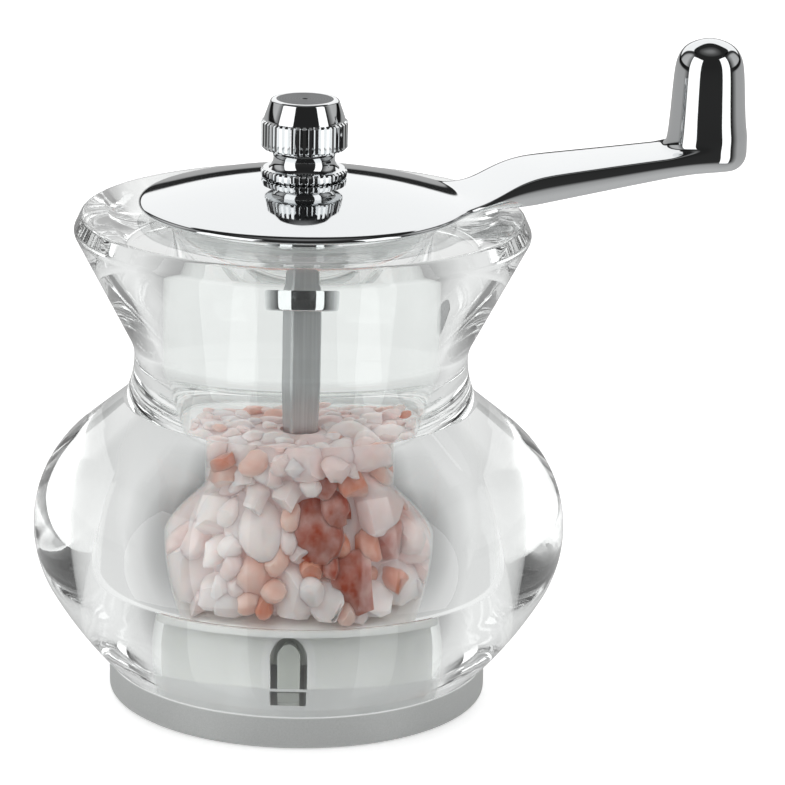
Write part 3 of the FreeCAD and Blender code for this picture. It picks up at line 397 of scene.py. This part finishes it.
def makePot():
    s = potSizes
    neckCentre = (s["waist"][0] + s["neckRound"], s["waist"][1])
    waistCentre = (s["waist"][0] + s["waistRound"], s["waist"][1])
    side = arcPoints(s["underCentre"], s["underRound"], s["underStart"], s["underEnd"], 14)
    side += arcPoints(s["bulbCentre"], s["bulbRound"], s["underEnd"], s["bulbEnd"], 40)[1:]
    waist = arcPoints(waistCentre, s["waistRound"], s["waistStart"], 180, 10)
    neck = arcPoints(neckCentre, s["neckRound"], 180, 180 - s["coneAngle"], 8)[1:]
    lip = arcPoints(s["lipCentre"], s["lipRound"], -s["coneAngle"], s["lipFace"], 8)
    seat, bore = (s["seatEdge"], s["top"]), (s["bore"], s["top"])
    wall = chamberWall()
    wellIn, wellOut = (s["well"], s["wellTop"]), (s["well"], s["foot"][1])
    profile = roundOff(wellOut, s["foot"], side[1], s["edge"])
    profile += side[1:] + roundOff(side[-1], s["crease"], waist[1], s["creaseRound"]) + waist[1:] + neck + lip
    profile += roundOff(lip[-1], seat, bore, s["seatRound"], 6) + roundOff(seat, bore, wall[0], s["mouthRound"])
    profile += wall + [wellIn, wellOut]
    profile.append(profile[0])
    pot = latheProfile("clearPot", profile, s["steps"])
    pot.visible_shadow = False    # lamps shine in through the acrylic
    finishPiece(pot, acrylic, "body", "clear_acrylic", "clear_pot")


makePot()

# crank lid, one casting: dome, hub below, swan-necked arm and upright knob, as a smoothed cage
crankSizes = {"lid": 29.5, "under": 90.8, "rimTop": 91.9, "rimInner": 28.95, "domeHeight": 4.4, "spot": 95.97,
              "spotEdge": 7.3, "domeRings": (8.5, 12.5, 17.5, 22.5, 26.4), "rimInset": 1.1,
              # the rim's bullnose: out from the lid's radius, and height
              "rim": ((-0.4, 91.84), (0, 91.45), (0.06, 90.98), (-0.25, 90.78)),
              "seatRings": (28.5, 27.7), "recess": 27.4, "recessWall": (90.9, 91.5), "recessTop": 91.6,
              "recessRings": (27.0, 17.0, 7.4), "recessFloor": 91.0, "downward": -0.3,
              "hub": 6.55, "hubGap": 0.3, "hubTop": 91.3, "hubLow": 81.2, "hubBevel": 0.4, "hubFace": 6.3,
              "socket": 2.81, "socketTurn": 10.0, "socketRing": 4.4, "socketEdge": 4.8, "socketTop": 95.85,
              "socketMiddle": 90.0, "socketBevel": 0.2, "ringSteps": 32, "ringShrink": 0.9936, "smoothing": 3,
              # the arm along x: half widths, cage stations, then the curves of its top and its underside
              "halves": [(25, 10.3), (34.26, 10.1), (43.5, 9.1), (58.5, 7.8), (73.5, 7.1)],
              "stations": [31.6, 34.3, 37.3, 40.4, 43.6, 50.0, 57.0, 62.6], "rootRadius": 29.0,
              "rootTops": (91.95, 92.2), "dipX": 25.0, "dipRound": 17.0, "swellX": 34.26, "swellZ": 94.64,
              "swellAngle": 33.0, "crestX": 43.5, "crestZ": 97.91, "crestRound": 21.0, "rise": 6.0,
              "lowZ": 90.9, "lowX": 39.5, "lowRise": 10.0,
              # its cross-section: edge and crown above, bevel, belly, and the narrower keel below
              "armEdge": 0.9, "armCrown": (0.45, 0.14, 0, 0.14, 0.45), "bevel": 0.85, "bevelShare": 0.3,
              "belly": 0.42, "keel": (-0.74, -0.45, 0, 0.45, 0.74), "keelLift": 0.04,
              # the knob's foot and rings, height and radius, with the fillet by degrees round from the tip
              "knobX": 73.5, "knobLow": 96.57, "knobStart": 64.4, "knobFoot": 7.3, "knobShrink": 0.9746,
              "shares": (0, 0.5, 1), "footTuck": 0.84, "neckX": 69.0, "neckTuck": 0.78, "footX": 70,
              "filletSpread": {180: 8.0, 157.5: 8.0, 135: 7.8}, "upperSpread": 7.25,
              "filletLift": {180: 0.0, 157.5: 0.0, 135: 0.06, 112.5: 0.45, 90: 0.75, "tip": 0.9},
              "upperLift": {180: 0.85, 157.5: 0.85, 135: 1.0, 112.5: 1.4, 90: 1.8, "tip": 2.0},
              "knobRings": [(105.4, 6.86), (110.6, 6.56), (114.6, 6.30), (116.9, 5.86), (118.9, 4.6)],
              "capRise": (1.62, 1.1, 0), "margin": 0.1, "upward": 0.7}


def domeTop(radius):
    s = crankSizes
    bow = (s["rimInner"] ** 2 + s["domeHeight"] ** 2) / (2 * s["domeHeight"])
    return s["rimTop"] + s["domeHeight"] - bow + math.sqrt(bow ** 2 - radius ** 2)


def armTop(x):
    # dips out of the rim, swells to a crest, then rises straight
    s = crankSizes
    swell = math.radians(s["swellAngle"])
    if x < s["swellX"]:
        return s["rimTop"] + s["dipRound"] * (1 - math.cos(math.asin((x - s["dipX"]) / s["dipRound"])))
    if x < s["crestX"]:
        lean = math.asin(math.sin(swell) - (x - s["swellX"]) / s["crestRound"])
        return s["swellZ"] + s["crestRound"] * (math.cos(lean) - math.cos(swell))
    return s["crestZ"] + (x - s["crestX"]) * math.tan(math.radians(s["rise"]))


def armLow(x):
    s = crankSizes
    return s["lowZ"] + max(0, x - s["lowX"]) * math.tan(math.radians(s["lowRise"]))


def armHalf(x):
    runs = crankSizes["halves"]
    for (x0, h0), (x1, h1) in zip(runs, runs[1:]):
        if x <= x1:
            return h0 + (h1 - h0) * (x - x0) / (x1 - x0)
    return runs[-1][1]


def patchAngle(u, v):
    # 25 vertices of the arm's end, as angles about the knob
    m = max(abs(u), abs(v))
    step = 45 / m
    if abs(v) == m:
        return 180 - step * u if v < 0 else step * u
    return -90 + step * v if u < 0 else 90 - step * v


def armPoint(x, column, row):
    s = crankSizes
    half, top, low = armHalf(x), armTop(x), armLow(x)
    deep = top - low
    edge = s["armEdge"] / half
    across = [-1, -1 + edge, 0, 1 - edge, 1][column]
    if row == 0:
        return x, half * across, top - s["armCrown"][column]
    if row == 1:
        return x, half * across, top - min(s["bevel"], s["bevelShare"] * deep)
    if row == 2:
        return x, half * across, low + s["belly"] * deep
    return x, half * s["keel"][column], low + (s["keelLift"] * deep if column in (0, 4) else 0)


def endPoint(step, column, row):
    # the arm's end wraps round the knob's foot
    s = crankSizes
    u, v = column - 2, step - 2
    if step == 0:
        return armPoint(s["knobStart"], column, row)
    m = max(abs(u), abs(v))
    radius = s["knobFoot"] / s["knobShrink"] * s["shares"][m]
    if row == 3:
        radius *= s["footTuck"]
    turn = math.radians(patchAngle(u, v)) if m else 0
    x, y = s["knobX"] + radius * math.cos(turn), radius * math.sin(turn)
    if step == 1 and m == 2:
        x, y = s["neckX"], math.copysign(armHalf(s["neckX"]) * (s["neckTuck"] if row == 3 else 1.0), u)
    top = armTop(min(x, s["knobX"]))
    low = s["knobLow"] if x > s["footX"] else armLow(x)
    return x, y, [top, top - s["bevel"], low + s["belly"] * (top - low), low][row]


def knobPoint(ring, column, step):
    s = crankSizes
    u, v = column - 2, step - 2
    m = max(abs(u), abs(v))
    angle = patchAngle(u, v) if m else 180
    turn = math.radians(angle) if m else 0
    away = abs((angle + 180) % 360 - 180) if m else 180
    share = s["shares"][m] / s["knobShrink"]
    if ring < 2:      # fillet on the arm's top, blending into the outer wall
        spread = s["filletSpread"].get(away, s["knobFoot"]) if ring == 0 else s["upperSpread"]
        lifts = s["filletLift"] if ring == 0 else s["upperLift"]
        x = s["knobX"] + spread * share * math.cos(turn)
        return x, spread * share * math.sin(turn), armTop(min(x, s["knobX"])) + lifts.get(away, lifts["tip"])
    z, spread = s["knobRings"][ring - 2]
    if ring == 1 + len(s["knobRings"]):      # the cap's inner vertices make the dome
        z += s["capRise"][m]
    return s["knobX"] + spread * share * math.cos(turn), spread * share * math.sin(turn), z


def makeCrank():
    s = crankSizes
    k = 1 / s["ringShrink"]    # smoothing draws a ring in by this much
    lid, hub, low, socket = s["lid"], s["hub"], s["hubLow"], s["socketRing"]
    profile = [(socket, s["socketTop"]), (s["socketEdge"], s["spot"]), (s["spotEdge"], s["spot"])]
    profile += [(r, domeTop(r)) for r in s["domeRings"]]
    profile += [((lid - s["rimInset"]) * k, domeTop(lid - s["rimInset"]))]
    profile += [((lid + out) * k, z) for out, z in s["rim"]]
    profile += [(r, s["under"]) for r in s["seatRings"]] + [(s["recess"], z) for z in s["recessWall"]]
    profile += [(r, s["recessTop"]) for r in s["recessRings"]]
    profile += [(hub * k, s["hubTop"]), (hub * k, low + s["hubBevel"]), (s["hubFace"], low), (s["socketEdge"], low)]
    profile += [(socket, z) for z in (low + s["socketBevel"], s["socketMiddle"], s["socketTop"])]
    crank = latheProfile("crankCasting", profile, s["ringSteps"])
    bpy.ops.object.mode_set(mode="EDIT")
    mesh = bmesh.from_edit_mesh(crank.data)
    for v in mesh.verts:
        radius = math.hypot(v.co.x, v.co.y) / mm
        if radius < (socket + s["socketEdge"]) / 2:      # the socket is square
            turn = math.atan2(v.co.y, v.co.x) - math.radians(s["socketTurn"])
            reach = s["socket"] / max(abs(math.cos(turn)), abs(math.sin(turn)))
            v.co.x *= reach / radius
            v.co.y *= reach / radius
    for name in ("column", "row", "step"):
        mesh.verts.layers.int.new(name)
    columnOf, rowOf = mesh.verts.layers.int["column"], mesh.verts.layers.int["row"]
    sector = 360 / s["ringSteps"]
    pickFaces(mesh, lambda c, n: math.hypot(c.x, c.y) > s["rootRadius"]
              and abs(math.degrees(math.atan2(c.y, c.x))) < 2 * sector)
    heights = sorted({round(v.co.z / mm, 2) for v in mesh.verts if v.select}, reverse=True)
    for v in mesh.verts:
        if v.select:
            v[columnOf] = round(math.degrees(math.atan2(v.co.y, v.co.x)) / sector) + 2
            v[rowOf] = heights.index(round(v.co.z / mm, 2))
            if v[rowOf] == 0:
                v.co.z = s["rootTops"][0 < v[columnOf] < 4] * mm
    bmesh.update_edit_mesh(crank.data)
    places = [(armPoint, x) for x in s["stations"]] + [(endPoint, step) for step in range(5)]
    for number, (place, where) in enumerate(places):
        bpy.ops.mesh.extrude_region_move()
        mesh = bmesh.from_edit_mesh(crank.data)
        layers = mesh.verts.layers.int
        columnOf, rowOf, stepOf = layers["column"], layers["row"], layers["step"]
        for v in mesh.verts:
            if v.select:
                v[stepOf] = number - len(s["stations"])
                v.co = Vector(place(where, v[columnOf], v[rowOf])) * mm
        bmesh.update_edit_mesh(crank.data)
    mesh = bmesh.from_edit_mesh(crank.data)
    pickFaces(mesh, lambda c, n: c.x > s["knobStart"] + s["margin"] and n.z > s["upward"])
    bmesh.update_edit_mesh(crank.data)
    for ring in range(2 + len(s["knobRings"])):
        bpy.ops.mesh.extrude_region_move()
        mesh = bmesh.from_edit_mesh(crank.data)
        columnOf, stepOf = mesh.verts.layers.int["column"], mesh.verts.layers.int["step"]
        for v in mesh.verts:
            if v.select:
                v.co = Vector(knobPoint(ring, v[columnOf], v[stepOf])) * mm
        bmesh.update_edit_mesh(crank.data)
    bpy.ops.mesh.select_all(action="SELECT")
    bpy.ops.mesh.normals_make_consistent(inside=False)
    bpy.ops.object.mode_set(mode="OBJECT")
    smooth = crank.modifiers.new("smooth", "SUBSURF")
    smooth.levels = smooth.render_levels = s["smoothing"]
    bpy.ops.object.modifier_apply(modifier="smooth")
    crank.data.materials.append(chrome)
    crank.data.materials.append(dull)
    for face in crank.data.polygons:
        c = face.center / mm
        inRecess = hub + s["hubGap"] < math.hypot(c.x, c.y) < s["recess"] and c.z > s["recessFloor"]
        if inRecess and face.normal.z < s["downward"]:
            face.material_index = 1
    finishPiece(crank, chrome, "crank", "chrome", "crank_lid", angle=60)


makeCrank()

# knurled thumb nut: two knurled bands on a waisted neck, a coned crown with a faced top
nutSizes = {"base": 96.05, "flange": 7.7, "flangeTop": 97.75, "neck": 5.5, "neckFlare": 6.3, "bandLow": 101.35,
            "band": 7.75, "bandTop": 106.55, "crownLow": 7.3, "top": 110.25, "topRadius": 6.0, "bore": 2.56,
            "boreTop": 107.0, "ribs": 44, "valley": 0.92, "ribDepth": 0.1, "faceEdge": 5.35, "faceInset": 0.25,
            "faceMiddle": 3.2, "faceSink": 0.03, "faceDepth": 0.6, "dimple": 0.5,
            # bevels, inwards and upwards, and the crown's small step and round
            "flangeBevel": (0.4, 0.35), "bandBevel": (0.45, 0.4), "crownFoot": (0.05, 0.3), "crownStep": 0.02,
            "crownRound": 0.55}


def makeNut():
    s = nutSizes
    middle = (s["flangeTop"] + s["bandLow"]) / 2
    rise = (s["bandLow"] - s["flangeTop"]) / 2
    sag = s["neckFlare"] - s["neck"]
    neckRound = (rise ** 2 + sag ** 2) / (2 * sag)
    swing = math.degrees(math.asin(rise / neckRound))
    (flangeIn, flangeUp), (bandIn, bandUp), (footIn, footUp) = s["flangeBevel"], s["bandBevel"], s["crownFoot"]
    band, low, high, top, flat = s["band"], s["bandLow"], s["bandTop"], s["top"], s["top"] - s["faceSink"]
    foot = (s["crownLow"] - footIn, high + footUp)
    profile = [(s["bore"], s["base"]), (s["flange"] - flangeIn, s["base"]), (s["flange"], s["base"] + flangeUp),
               (s["flange"], s["flangeTop"] - flangeUp), (s["flange"] - flangeIn, s["flangeTop"])]
    profile += arcPoints((s["neck"] + neckRound, middle), neckRound, 180 + swing, 180 - swing, 10)
    profile += [(band - bandIn, low), (band, low + bandUp), (band, high - bandUp), (band - bandIn, high),
                (s["crownLow"], high + s["crownStep"]), foot]
    profile += roundOff(foot, (s["topRadius"] + footIn, top), (s["dimple"], top), s["crownRound"], 6)
    profile += [(s["faceEdge"] - s["faceInset"], flat), (s["faceMiddle"], flat), (s["dimple"], flat),
                (0, top - s["dimple"]), (0, s["boreTop"]), (s["bore"], s["boreTop"]), (s["bore"], s["base"])]
    nut = latheProfile("thumbNut", profile, s["ribs"] * 4)
    bpy.ops.object.mode_set(mode="EDIT")
    mesh = bmesh.from_edit_mesh(nut.data)
    for v in mesh.verts:
        column = round(math.degrees(math.atan2(v.co.y, v.co.x)) / (90 / s["ribs"]))
        v.select_set(math.hypot(v.co.x, v.co.y) > (s["flange"] - s["ribDepth"]) * mm and column % 4 == 2)
    bmesh.update_edit_mesh(nut.data)
    bpy.ops.transform.resize(value=(s["valley"], s["valley"], 1))    # the grooves between the ribs
    bpy.ops.object.mode_set(mode="OBJECT")
    nut.data.materials.append(chrome)
    nut.data.materials.append(turned)
    for face in nut.data.polygons:
        c = face.center / mm
        if c.z > top - s["faceDepth"] and math.hypot(c.x, c.y) < s["faceEdge"]:
            face.material_index = 1
    finishPiece(nut, chrome, "nut", "chrome", "adjusting_nut", angle=40)


makeNut()

# rock salt: a few broken crystals, copied, turned and packed against the bore and over the heap's top
saltSizes = {"seed": 7, "shapes": 10, "low": 23.7, "top": 49.0, "tilt": 1.6, "inner": 3.9, "gap": 0.2, "skin": 8.0,
             "sizes": (4.3, 3.6, 3.0, 2.4, 1.8), "tries": (1500, 2500, 3500, 5000, 7000), "crowd": 0.6,
             "core": 3.2, "coreTop": 45.0, "coreHeights": (44.0, 42, 36, 31, 27), "coreSteps": 48,
             # one crystal: how it is drawn out, then its broken faces
             "stretch": ((1.0, 1.3), (0.85, 1.1), (0.75, 0.95)), "cuts": 7, "cutReach": (0.58, 0.85), "weld": 0.14,
             # packing: those under this size also fill the bottom, this high and this near the wall
             "small": 3.1, "bedHeight": 4, "bedShare": (0.85, 1), "middle": 0.03, "tip": 0.45, "spin": 6.28,
             # shares of a crystal's size: off the floor, off it in the bed, along the wall, off the wall, then off
             # the heap's top and the shaft
             "lift": 0.45, "bedLift": 0.3, "tall": 0.6, "wide": 0.55, "clear": 0.8,
             "tints": ("#fdeeec", "#fae0dd", "#f2c6b9", "#d98a6e", "#a64a30"), "usualTint": (0.17, 0.14),
             # where the redder crystals lie: degrees round from the front, height, spread in mm and depth of colour
             "front": 98, "redRadius": 22, "redPull": 0.8,
             "redder": ((15, 36, 6.0, 1.15), (15, 31, 5.0, 1.1), (34, 32, 4.5, 1.0), (49, 34, 4.0, 0.7),
                        (-8, 27, 4.0, 0.6), (-31, 45, 4.0, 0.5), (8, 43, 3.0, 0.4), (120, 36, 7, 0.9),
                        (200, 40, 7, 0.7), (255, 30, 6, 0.9))}


def makeCrystal(number, dice):
    s = saltSizes
    deselectAll()
    bpy.ops.mesh.primitive_ico_sphere_add(subdivisions=2, radius=mm)
    shape = bpy.context.object
    shape.name = "crystal%d" % number
    bpy.ops.object.mode_set(mode="EDIT")
    bpy.ops.transform.resize(value=[dice.uniform(*ends) for ends in s["stretch"]])
    for cut in range(s["cuts"]):
        way = Vector((dice.gauss(0, 1), dice.gauss(0, 1), dice.gauss(0, 1))).normalized()
        bpy.ops.mesh.select_all(action="SELECT")
        bpy.ops.mesh.bisect(plane_co=way * dice.uniform(*s["cutReach"]) * mm, plane_no=way, use_fill=True,
                            clear_outer=True)
    bpy.ops.mesh.select_all(action="SELECT")
    bpy.ops.mesh.remove_doubles(threshold=s["weld"] * mm)
    bpy.ops.mesh.normals_make_consistent(inside=False)
    bpy.ops.object.mode_set(mode="OBJECT")
    return shape


def packSalt(dice):
    s = saltSizes
    packed = []
    for size, tries in zip(s["sizes"], s["tries"]):
        for attempt in range(tries):
            turn, share = dice.uniform(0, 2 * math.pi), math.sqrt(dice.uniform(s["middle"], 1))
            z = dice.uniform(s["low"] + size * s["lift"], s["top"])
            if size < s["small"] and attempt % 2:
                z = dice.uniform(s["low"] + size * s["bedLift"], s["low"] + s["bedHeight"])
                share = dice.uniform(*s["bedShare"])
            wall = min(chamberRadius(z - size * s["tall"]), chamberRadius(z + size * s["tall"])) - s["gap"]
            away = share * (wall - size * s["wide"])
            x, y = away * math.cos(turn), away * math.sin(turn)
            crown = s["top"] - s["tilt"] + s["tilt"] * x / wall - size * s["clear"]
            if z > crown:
                continue
            buried = away < wall - s["skin"] and z < crown - s["skin"]
            if buried or away < s["inner"] + size * s["clear"]:
                continue
            if all((x - px) ** 2 + (y - py) ** 2 + (z - pz) ** 2 > (s["crowd"] * (size + other)) ** 2
                   for px, py, pz, other in packed):
                packed.append((x, y, z, size))
    return packed


def saltTint(x, y, z, dice):
    s = saltSizes
    red = 0.0
    for turn, height, spread, depth in s["redder"]:
        t = math.radians(turn - s["front"])
        redX, redY = s["redRadius"] * math.cos(t), s["redRadius"] * math.sin(t)
        gap = (x - redX) ** 2 + (y - redY) ** 2 + (z - height) ** 2
        red = max(red, depth * math.exp(-gap / spread ** 2))
    pick = dice.gauss(*s["usualTint"]) + s["redPull"] * red
    last = len(s["tints"]) - 1
    return linear(s["tints"][max(0, min(last, int(pick * (last + 1))))])


def makeSalt():
    s = saltSizes
    dice = random.Random(s["seed"])
    shapes = [makeCrystal(n, dice) for n in range(s["shapes"])]
    packed = packSalt(dice)
    copies = []
    for x, y, z, size in packed:
        crystal = dice.choice(shapes).copy()
        crystal.data = crystal.data.copy()
        bpy.context.collection.objects.link(crystal)
        tip = Matrix.Rotation(dice.gauss(0, s["tip"]), 4, "X")
        spin = tip @ Matrix.Rotation(dice.uniform(0, s["spin"]), 4, "Z")
        crystal.data.transform(Matrix.Translation(Vector((x, y, z)) * mm) @ spin @ Matrix.Scale(size, 4))
        for v in crystal.data.vertices:      # lies flat against the wall and the floor
            v.co.z = max(v.co.z, s["low"] * mm)
            reach = (chamberRadius(v.co.z / mm) - s["gap"]) * mm / max(math.hypot(v.co.x, v.co.y), 1e-6)
            if reach < 1:
                v.co.x, v.co.y = v.co.x * reach, v.co.y * reach
        tint = crystal.data.color_attributes.new("tint", "FLOAT_COLOR", "POINT")
        tint.data.foreach_set("color", saltTint(x, y, z, dice) * len(crystal.data.vertices))
        copies.append(crystal)
    for shape in shapes:
        bpy.data.objects.remove(shape)
    inside = [(chamberRadius(z) - s["core"], z) for z in s["coreHeights"] + (s["low"],)]
    outline = [(s["inner"], s["coreTop"])] + inside + [(s["inner"], s["low"])]
    core = latheProfile("saltCore", outline, s["coreSteps"])
    tint = core.data.color_attributes.new("tint", "FLOAT_COLOR", "POINT")
    tint.data.foreach_set("color", linear(s["tints"][1]) * len(core.data.vertices))
    copies.append(core)
    deselectAll()
    for crystal in copies:
        crystal.select_set(True)
    bpy.context.view_layer.objects.active = copies[0]
    bpy.ops.object.join()
    heap = bpy.context.object
    heap.name = "saltCrystals"
    print("salt crystals", len(packed))
    finishPiece(heap, salt, "body", "rock_salt", "salt_fill", angle=50)


makeSalt()

# the rest of the works stay as built, each in its own finish
finishes = {"base_ring": satin, "grinder_housing": housingNylonPaintedLight, "lid_glide_ring": polycarbonate,
            "bridge_bush": nylon, "ring_burr": ceramic, "rotor_burr": ceramic, "rotor_carrier": nylon,
            "burr_snap_ring": steel, "bridge_bar": steel, "bridge_screws": steel, "upper_spring_washer": steel,
            "lower_spring_washer": steel, "rotor_spring": steel, "rotor_washer": steel, "rotor_screw": steel,
            "drive_shaft": steel, "clear_pot": acrylic, "crank_lid": chrome, "adjusting_nut": chrome,
            "salt_fill": salt}
for name, finish in finishes.items():
    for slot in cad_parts[name].material_slots:
        slot.material = finish
print("finishes set")

# stage: a pale floor, a room that only reflections and acrylic see, and softboxes; the two side boxes show in
# chrome and acrylic, the others only give light
stageSizes = {"floor": 8.0, "floorDrop": 0.0002, "floorGlow": 0.42, "glow": 1.15, "yaw": 9.333, "aim": 0.06,
              # each box in metres: right, ahead, up, width, height, then how bright
              "boxes": {"backWall": (0, 1.5, 1.08, 3.4, 1.5, 1.15), "overhead": (0, -0.1, 1.4, 1.9, 1.6, 1.5),
                        "leftBox": (-0.85, -0.62, 0.2, 0.85, 1.6, 1.5), "rightBox": (0.86, -0.55, 0.2, 0.5, 1.6, 1.5),
                        "frontFill": (-0.2, -1.3, 0.8, 1.4, 0.9, 0.5)},
              "seenBoxes": ("leftBox", "rightBox"), "behindFrom": (-0.25, 0.1), "horizon": 0.08,
              # how bright the room is by height: in chrome towards the camera and behind, then through acrylic
              "front": ((-1, 0.5), (-0.62, 0.35), (-0.45, 0.03), (0.3, 0.02), (0.85, 0.02), (0.95, 0.1), (1, 0.22)),
              "behind": ((-1, 0.5), (-0.5, 0.42), (0.02, 0.36), (0.05, 0.02), (0.14, 0.02), (0.16, 1.0), (0.735, 1.0),
                         (0.75, 0.02), (0.9, 0.02), (0.97, 0.1), (1, 0.22)),
              "clearFront": ((-1, 0.45), (-0.55, 0.14), (-0.35, 0.03), (0.2, 0.03), (0.5, 0.2), (0.8, 0.7),
                             (1, 0.85)),
              "clearBehind": ((-1, 0.6), (-0.25, 0.68), (0.1, 0.78), (1, 0.85)),
              # how it falls off to the sides, 0 straight ahead and 1 square across: the paper behind, then acrylic
              "paper": ((0, 1.0), (0.58, 1.0), (0.62, 0.04), (0.72, 0.04), (0.8, 0.45), (1, 0.5)),
              "sides": ((0, 1.0), (0.6, 1.0), (0.85, 0.75), (1, 0.35))}


def makeStage():
    s = stageSizes
    yaw = math.radians(s["yaw"])
    ahead, right = Vector((math.sin(yaw), math.cos(yaw), 0)), Vector((math.cos(yaw), -math.sin(yaw), 0))
    deselectAll()
    bpy.ops.mesh.primitive_plane_add(size=s["floor"], location=(0, 0, -s["floorDrop"]))
    floor = bpy.context.object
    floor.name = "paleFloor"
    material = startMaterial("paperSweep")[0]
    shader = addNode(material, "ShaderNodeBsdfPrincipled",
                     inputs={"Base Color": linear("#f4f4f4"), "Roughness": 0.9, "Specular IOR Level": 0.0,
                             "Emission Color": linear("#ffffff"), "Emission Strength": s["floorGlow"]})
    floor.data.materials.append(endMaterial(material, shader))
    floor.visible_glossy = floor.visible_transmission = False
    for name, (x, y, z, width, height, shine) in s["boxes"].items():
        lamp = bpy.data.lights.new(name, "AREA")
        lamp.shape, lamp.size, lamp.size_y = "RECTANGLE", width, height
        lamp.energy = shine * math.pi * width * height
        box = bpy.data.objects.new(name, lamp)
        box.location = right * x + ahead * y + Vector((0, 0, z))
        aim = Vector((0, 0, s["aim"])) - box.location
        if name == "backWall":
            aim = -ahead
        box.rotation_mode = "QUATERNION"
        box.rotation_quaternion = aim.to_track_quat("-Z", "Y")
        box.visible_camera = False
        box.visible_glossy = box.visible_transmission = name in s["seenBoxes"]
        bpy.context.collection.objects.link(box)
    world = bpy.data.worlds.new("studio")
    bpy.context.scene.world = world
    world.use_nodes = True
    world.node_tree.nodes.clear()
    way = addNode(world, "ShaderNodeTexCoord").outputs["Generated"]
    up = addNode(world, "ShaderNodeSeparateXYZ", links={"Vector": way}).outputs["Z"]
    level = addNode(world, "ShaderNodeMapRange", inputs={"From Min": -1.0}, links={"Value": up})
    depth = addNode(world, "ShaderNodeVectorMath", {"operation": "DOT_PRODUCT"}, {1: ahead}, {0: way})
    far = addNode(world, "ShaderNodeMapRange", inputs=dict(zip(("From Min", "From Max"), s["behindFrom"])),
                  links={"Value": depth.outputs["Value"]})
    across = addNode(world, "ShaderNodeVectorMath", {"operation": "DOT_PRODUCT"}, {1: right}, {0: way})
    aside = addNode(world, "ShaderNodeMath", {"operation": "ABSOLUTE"}, links={0: across.outputs["Value"]})
    half = addNode(world, "ShaderNodeMapRange", inputs={"From Min": -1.0}, links={"Value": aside.outputs["Value"]})
    above = addNode(world, "ShaderNodeMapRange", inputs={"From Max": s["horizon"]}, links={"Value": up})
    seen = {}
    for name in ("front", "behind", "clearFront", "clearBehind", "paper", "sides"):
        source = half if name in ("paper", "sides") else level
        stops = [((place + 1) / 2, (grey, grey, grey, 1)) for place, grey in s[name]]
        seen[name] = addNode(world, "ShaderNodeValToRGB", links={"Fac": source.outputs["Result"]},
                             stops=stops).outputs["Color"]
    paper = addNode(world, "ShaderNodeMix", {"data_type": "RGBA", "blend_type": "MULTIPLY"},
                    links={0: above.outputs["Result"], 6: seen["behind"], 7: seen["paper"]})
    room = addNode(world, "ShaderNodeMix", {"data_type": "RGBA"},
                   links={0: far.outputs["Result"], 6: seen["front"], 7: paper.outputs[2]})
    clear = addNode(world, "ShaderNodeMix", {"data_type": "RGBA"},
                    links={0: far.outputs["Result"], 6: seen["clearFront"], 7: seen["clearBehind"]})
    shade = addNode(world, "ShaderNodeMix", {"data_type": "RGBA", "blend_type": "MULTIPLY"}, {0: 1.0},
                    {6: clear.outputs[2], 7: seen["sides"]})
    path = addNode(world, "ShaderNodeLightPath").outputs
    lit = addNode(world, "ShaderNodeMix", {"data_type": "RGBA"},
                  links={"Factor": path["Is Transmission Ray"], "A": room.outputs[2], "B": shade.outputs[2]})
    studio = addNode(world, "ShaderNodeBackground", inputs={"Strength": s["glow"]}, links={"Color": lit.outputs[2]})
    sky = addNode(world, "ShaderNodeBackground", inputs={"Color": (1, 1, 1, 1), "Strength": 1.0})
    mix = addNode(world, "ShaderNodeMixShader",
                  links={"Fac": path["Is Camera Ray"], 1: studio.outputs[0], 2: sky.outputs[0]})
    addNode(world, "ShaderNodeOutputWorld", links={"Surface": mix.outputs[0]})
    bpy.context.scene.view_settings.view_transform = "Standard"
    bpy.context.scene.cycles.max_bounces = 32    # light runs round inside the thick acrylic
    bpy.context.scene.cycles.glossy_bounces = 16
    bpy.context.scene.cycles.transmission_bounces = 32
    print("stage set")


makeStage()

# camera where the photograph was taken from
cameraSizes = {"place": (-99.51, -708.04, 265.25), "ahead": (0.15566, 0.94708, -0.28072), "roll": 1.212,
               "lens": 188.33, "sensor": 36.0, "clip": (0.01, 50)}


def makeCamera():
    s = cameraSizes
    ahead = Vector(s["ahead"]).normalized()
    right0 = ahead.cross(Vector((0, 0, 1))).normalized()
    up0 = right0.cross(ahead)
    roll = math.radians(s["roll"])
    right = right0 * math.cos(roll) + up0 * math.sin(roll)
    up = right.cross(ahead)
    lens = bpy.data.cameras.new("photoCamera")
    lens.lens, lens.sensor_width, lens.sensor_fit = s["lens"], s["sensor"], "HORIZONTAL"
    lens.clip_start, lens.clip_end = s["clip"]
    camera = bpy.data.objects.new("photoCamera", lens)
    turn = Matrix((right, up, -ahead)).transposed().to_4x4()
    camera.matrix_world = Matrix.Translation(Vector(s["place"]) * mm) @ turn
    bpy.context.collection.objects.link(camera)
    bpy.context.scene.camera = camera
    print("camera set")


makeCamera()

deselectAll()
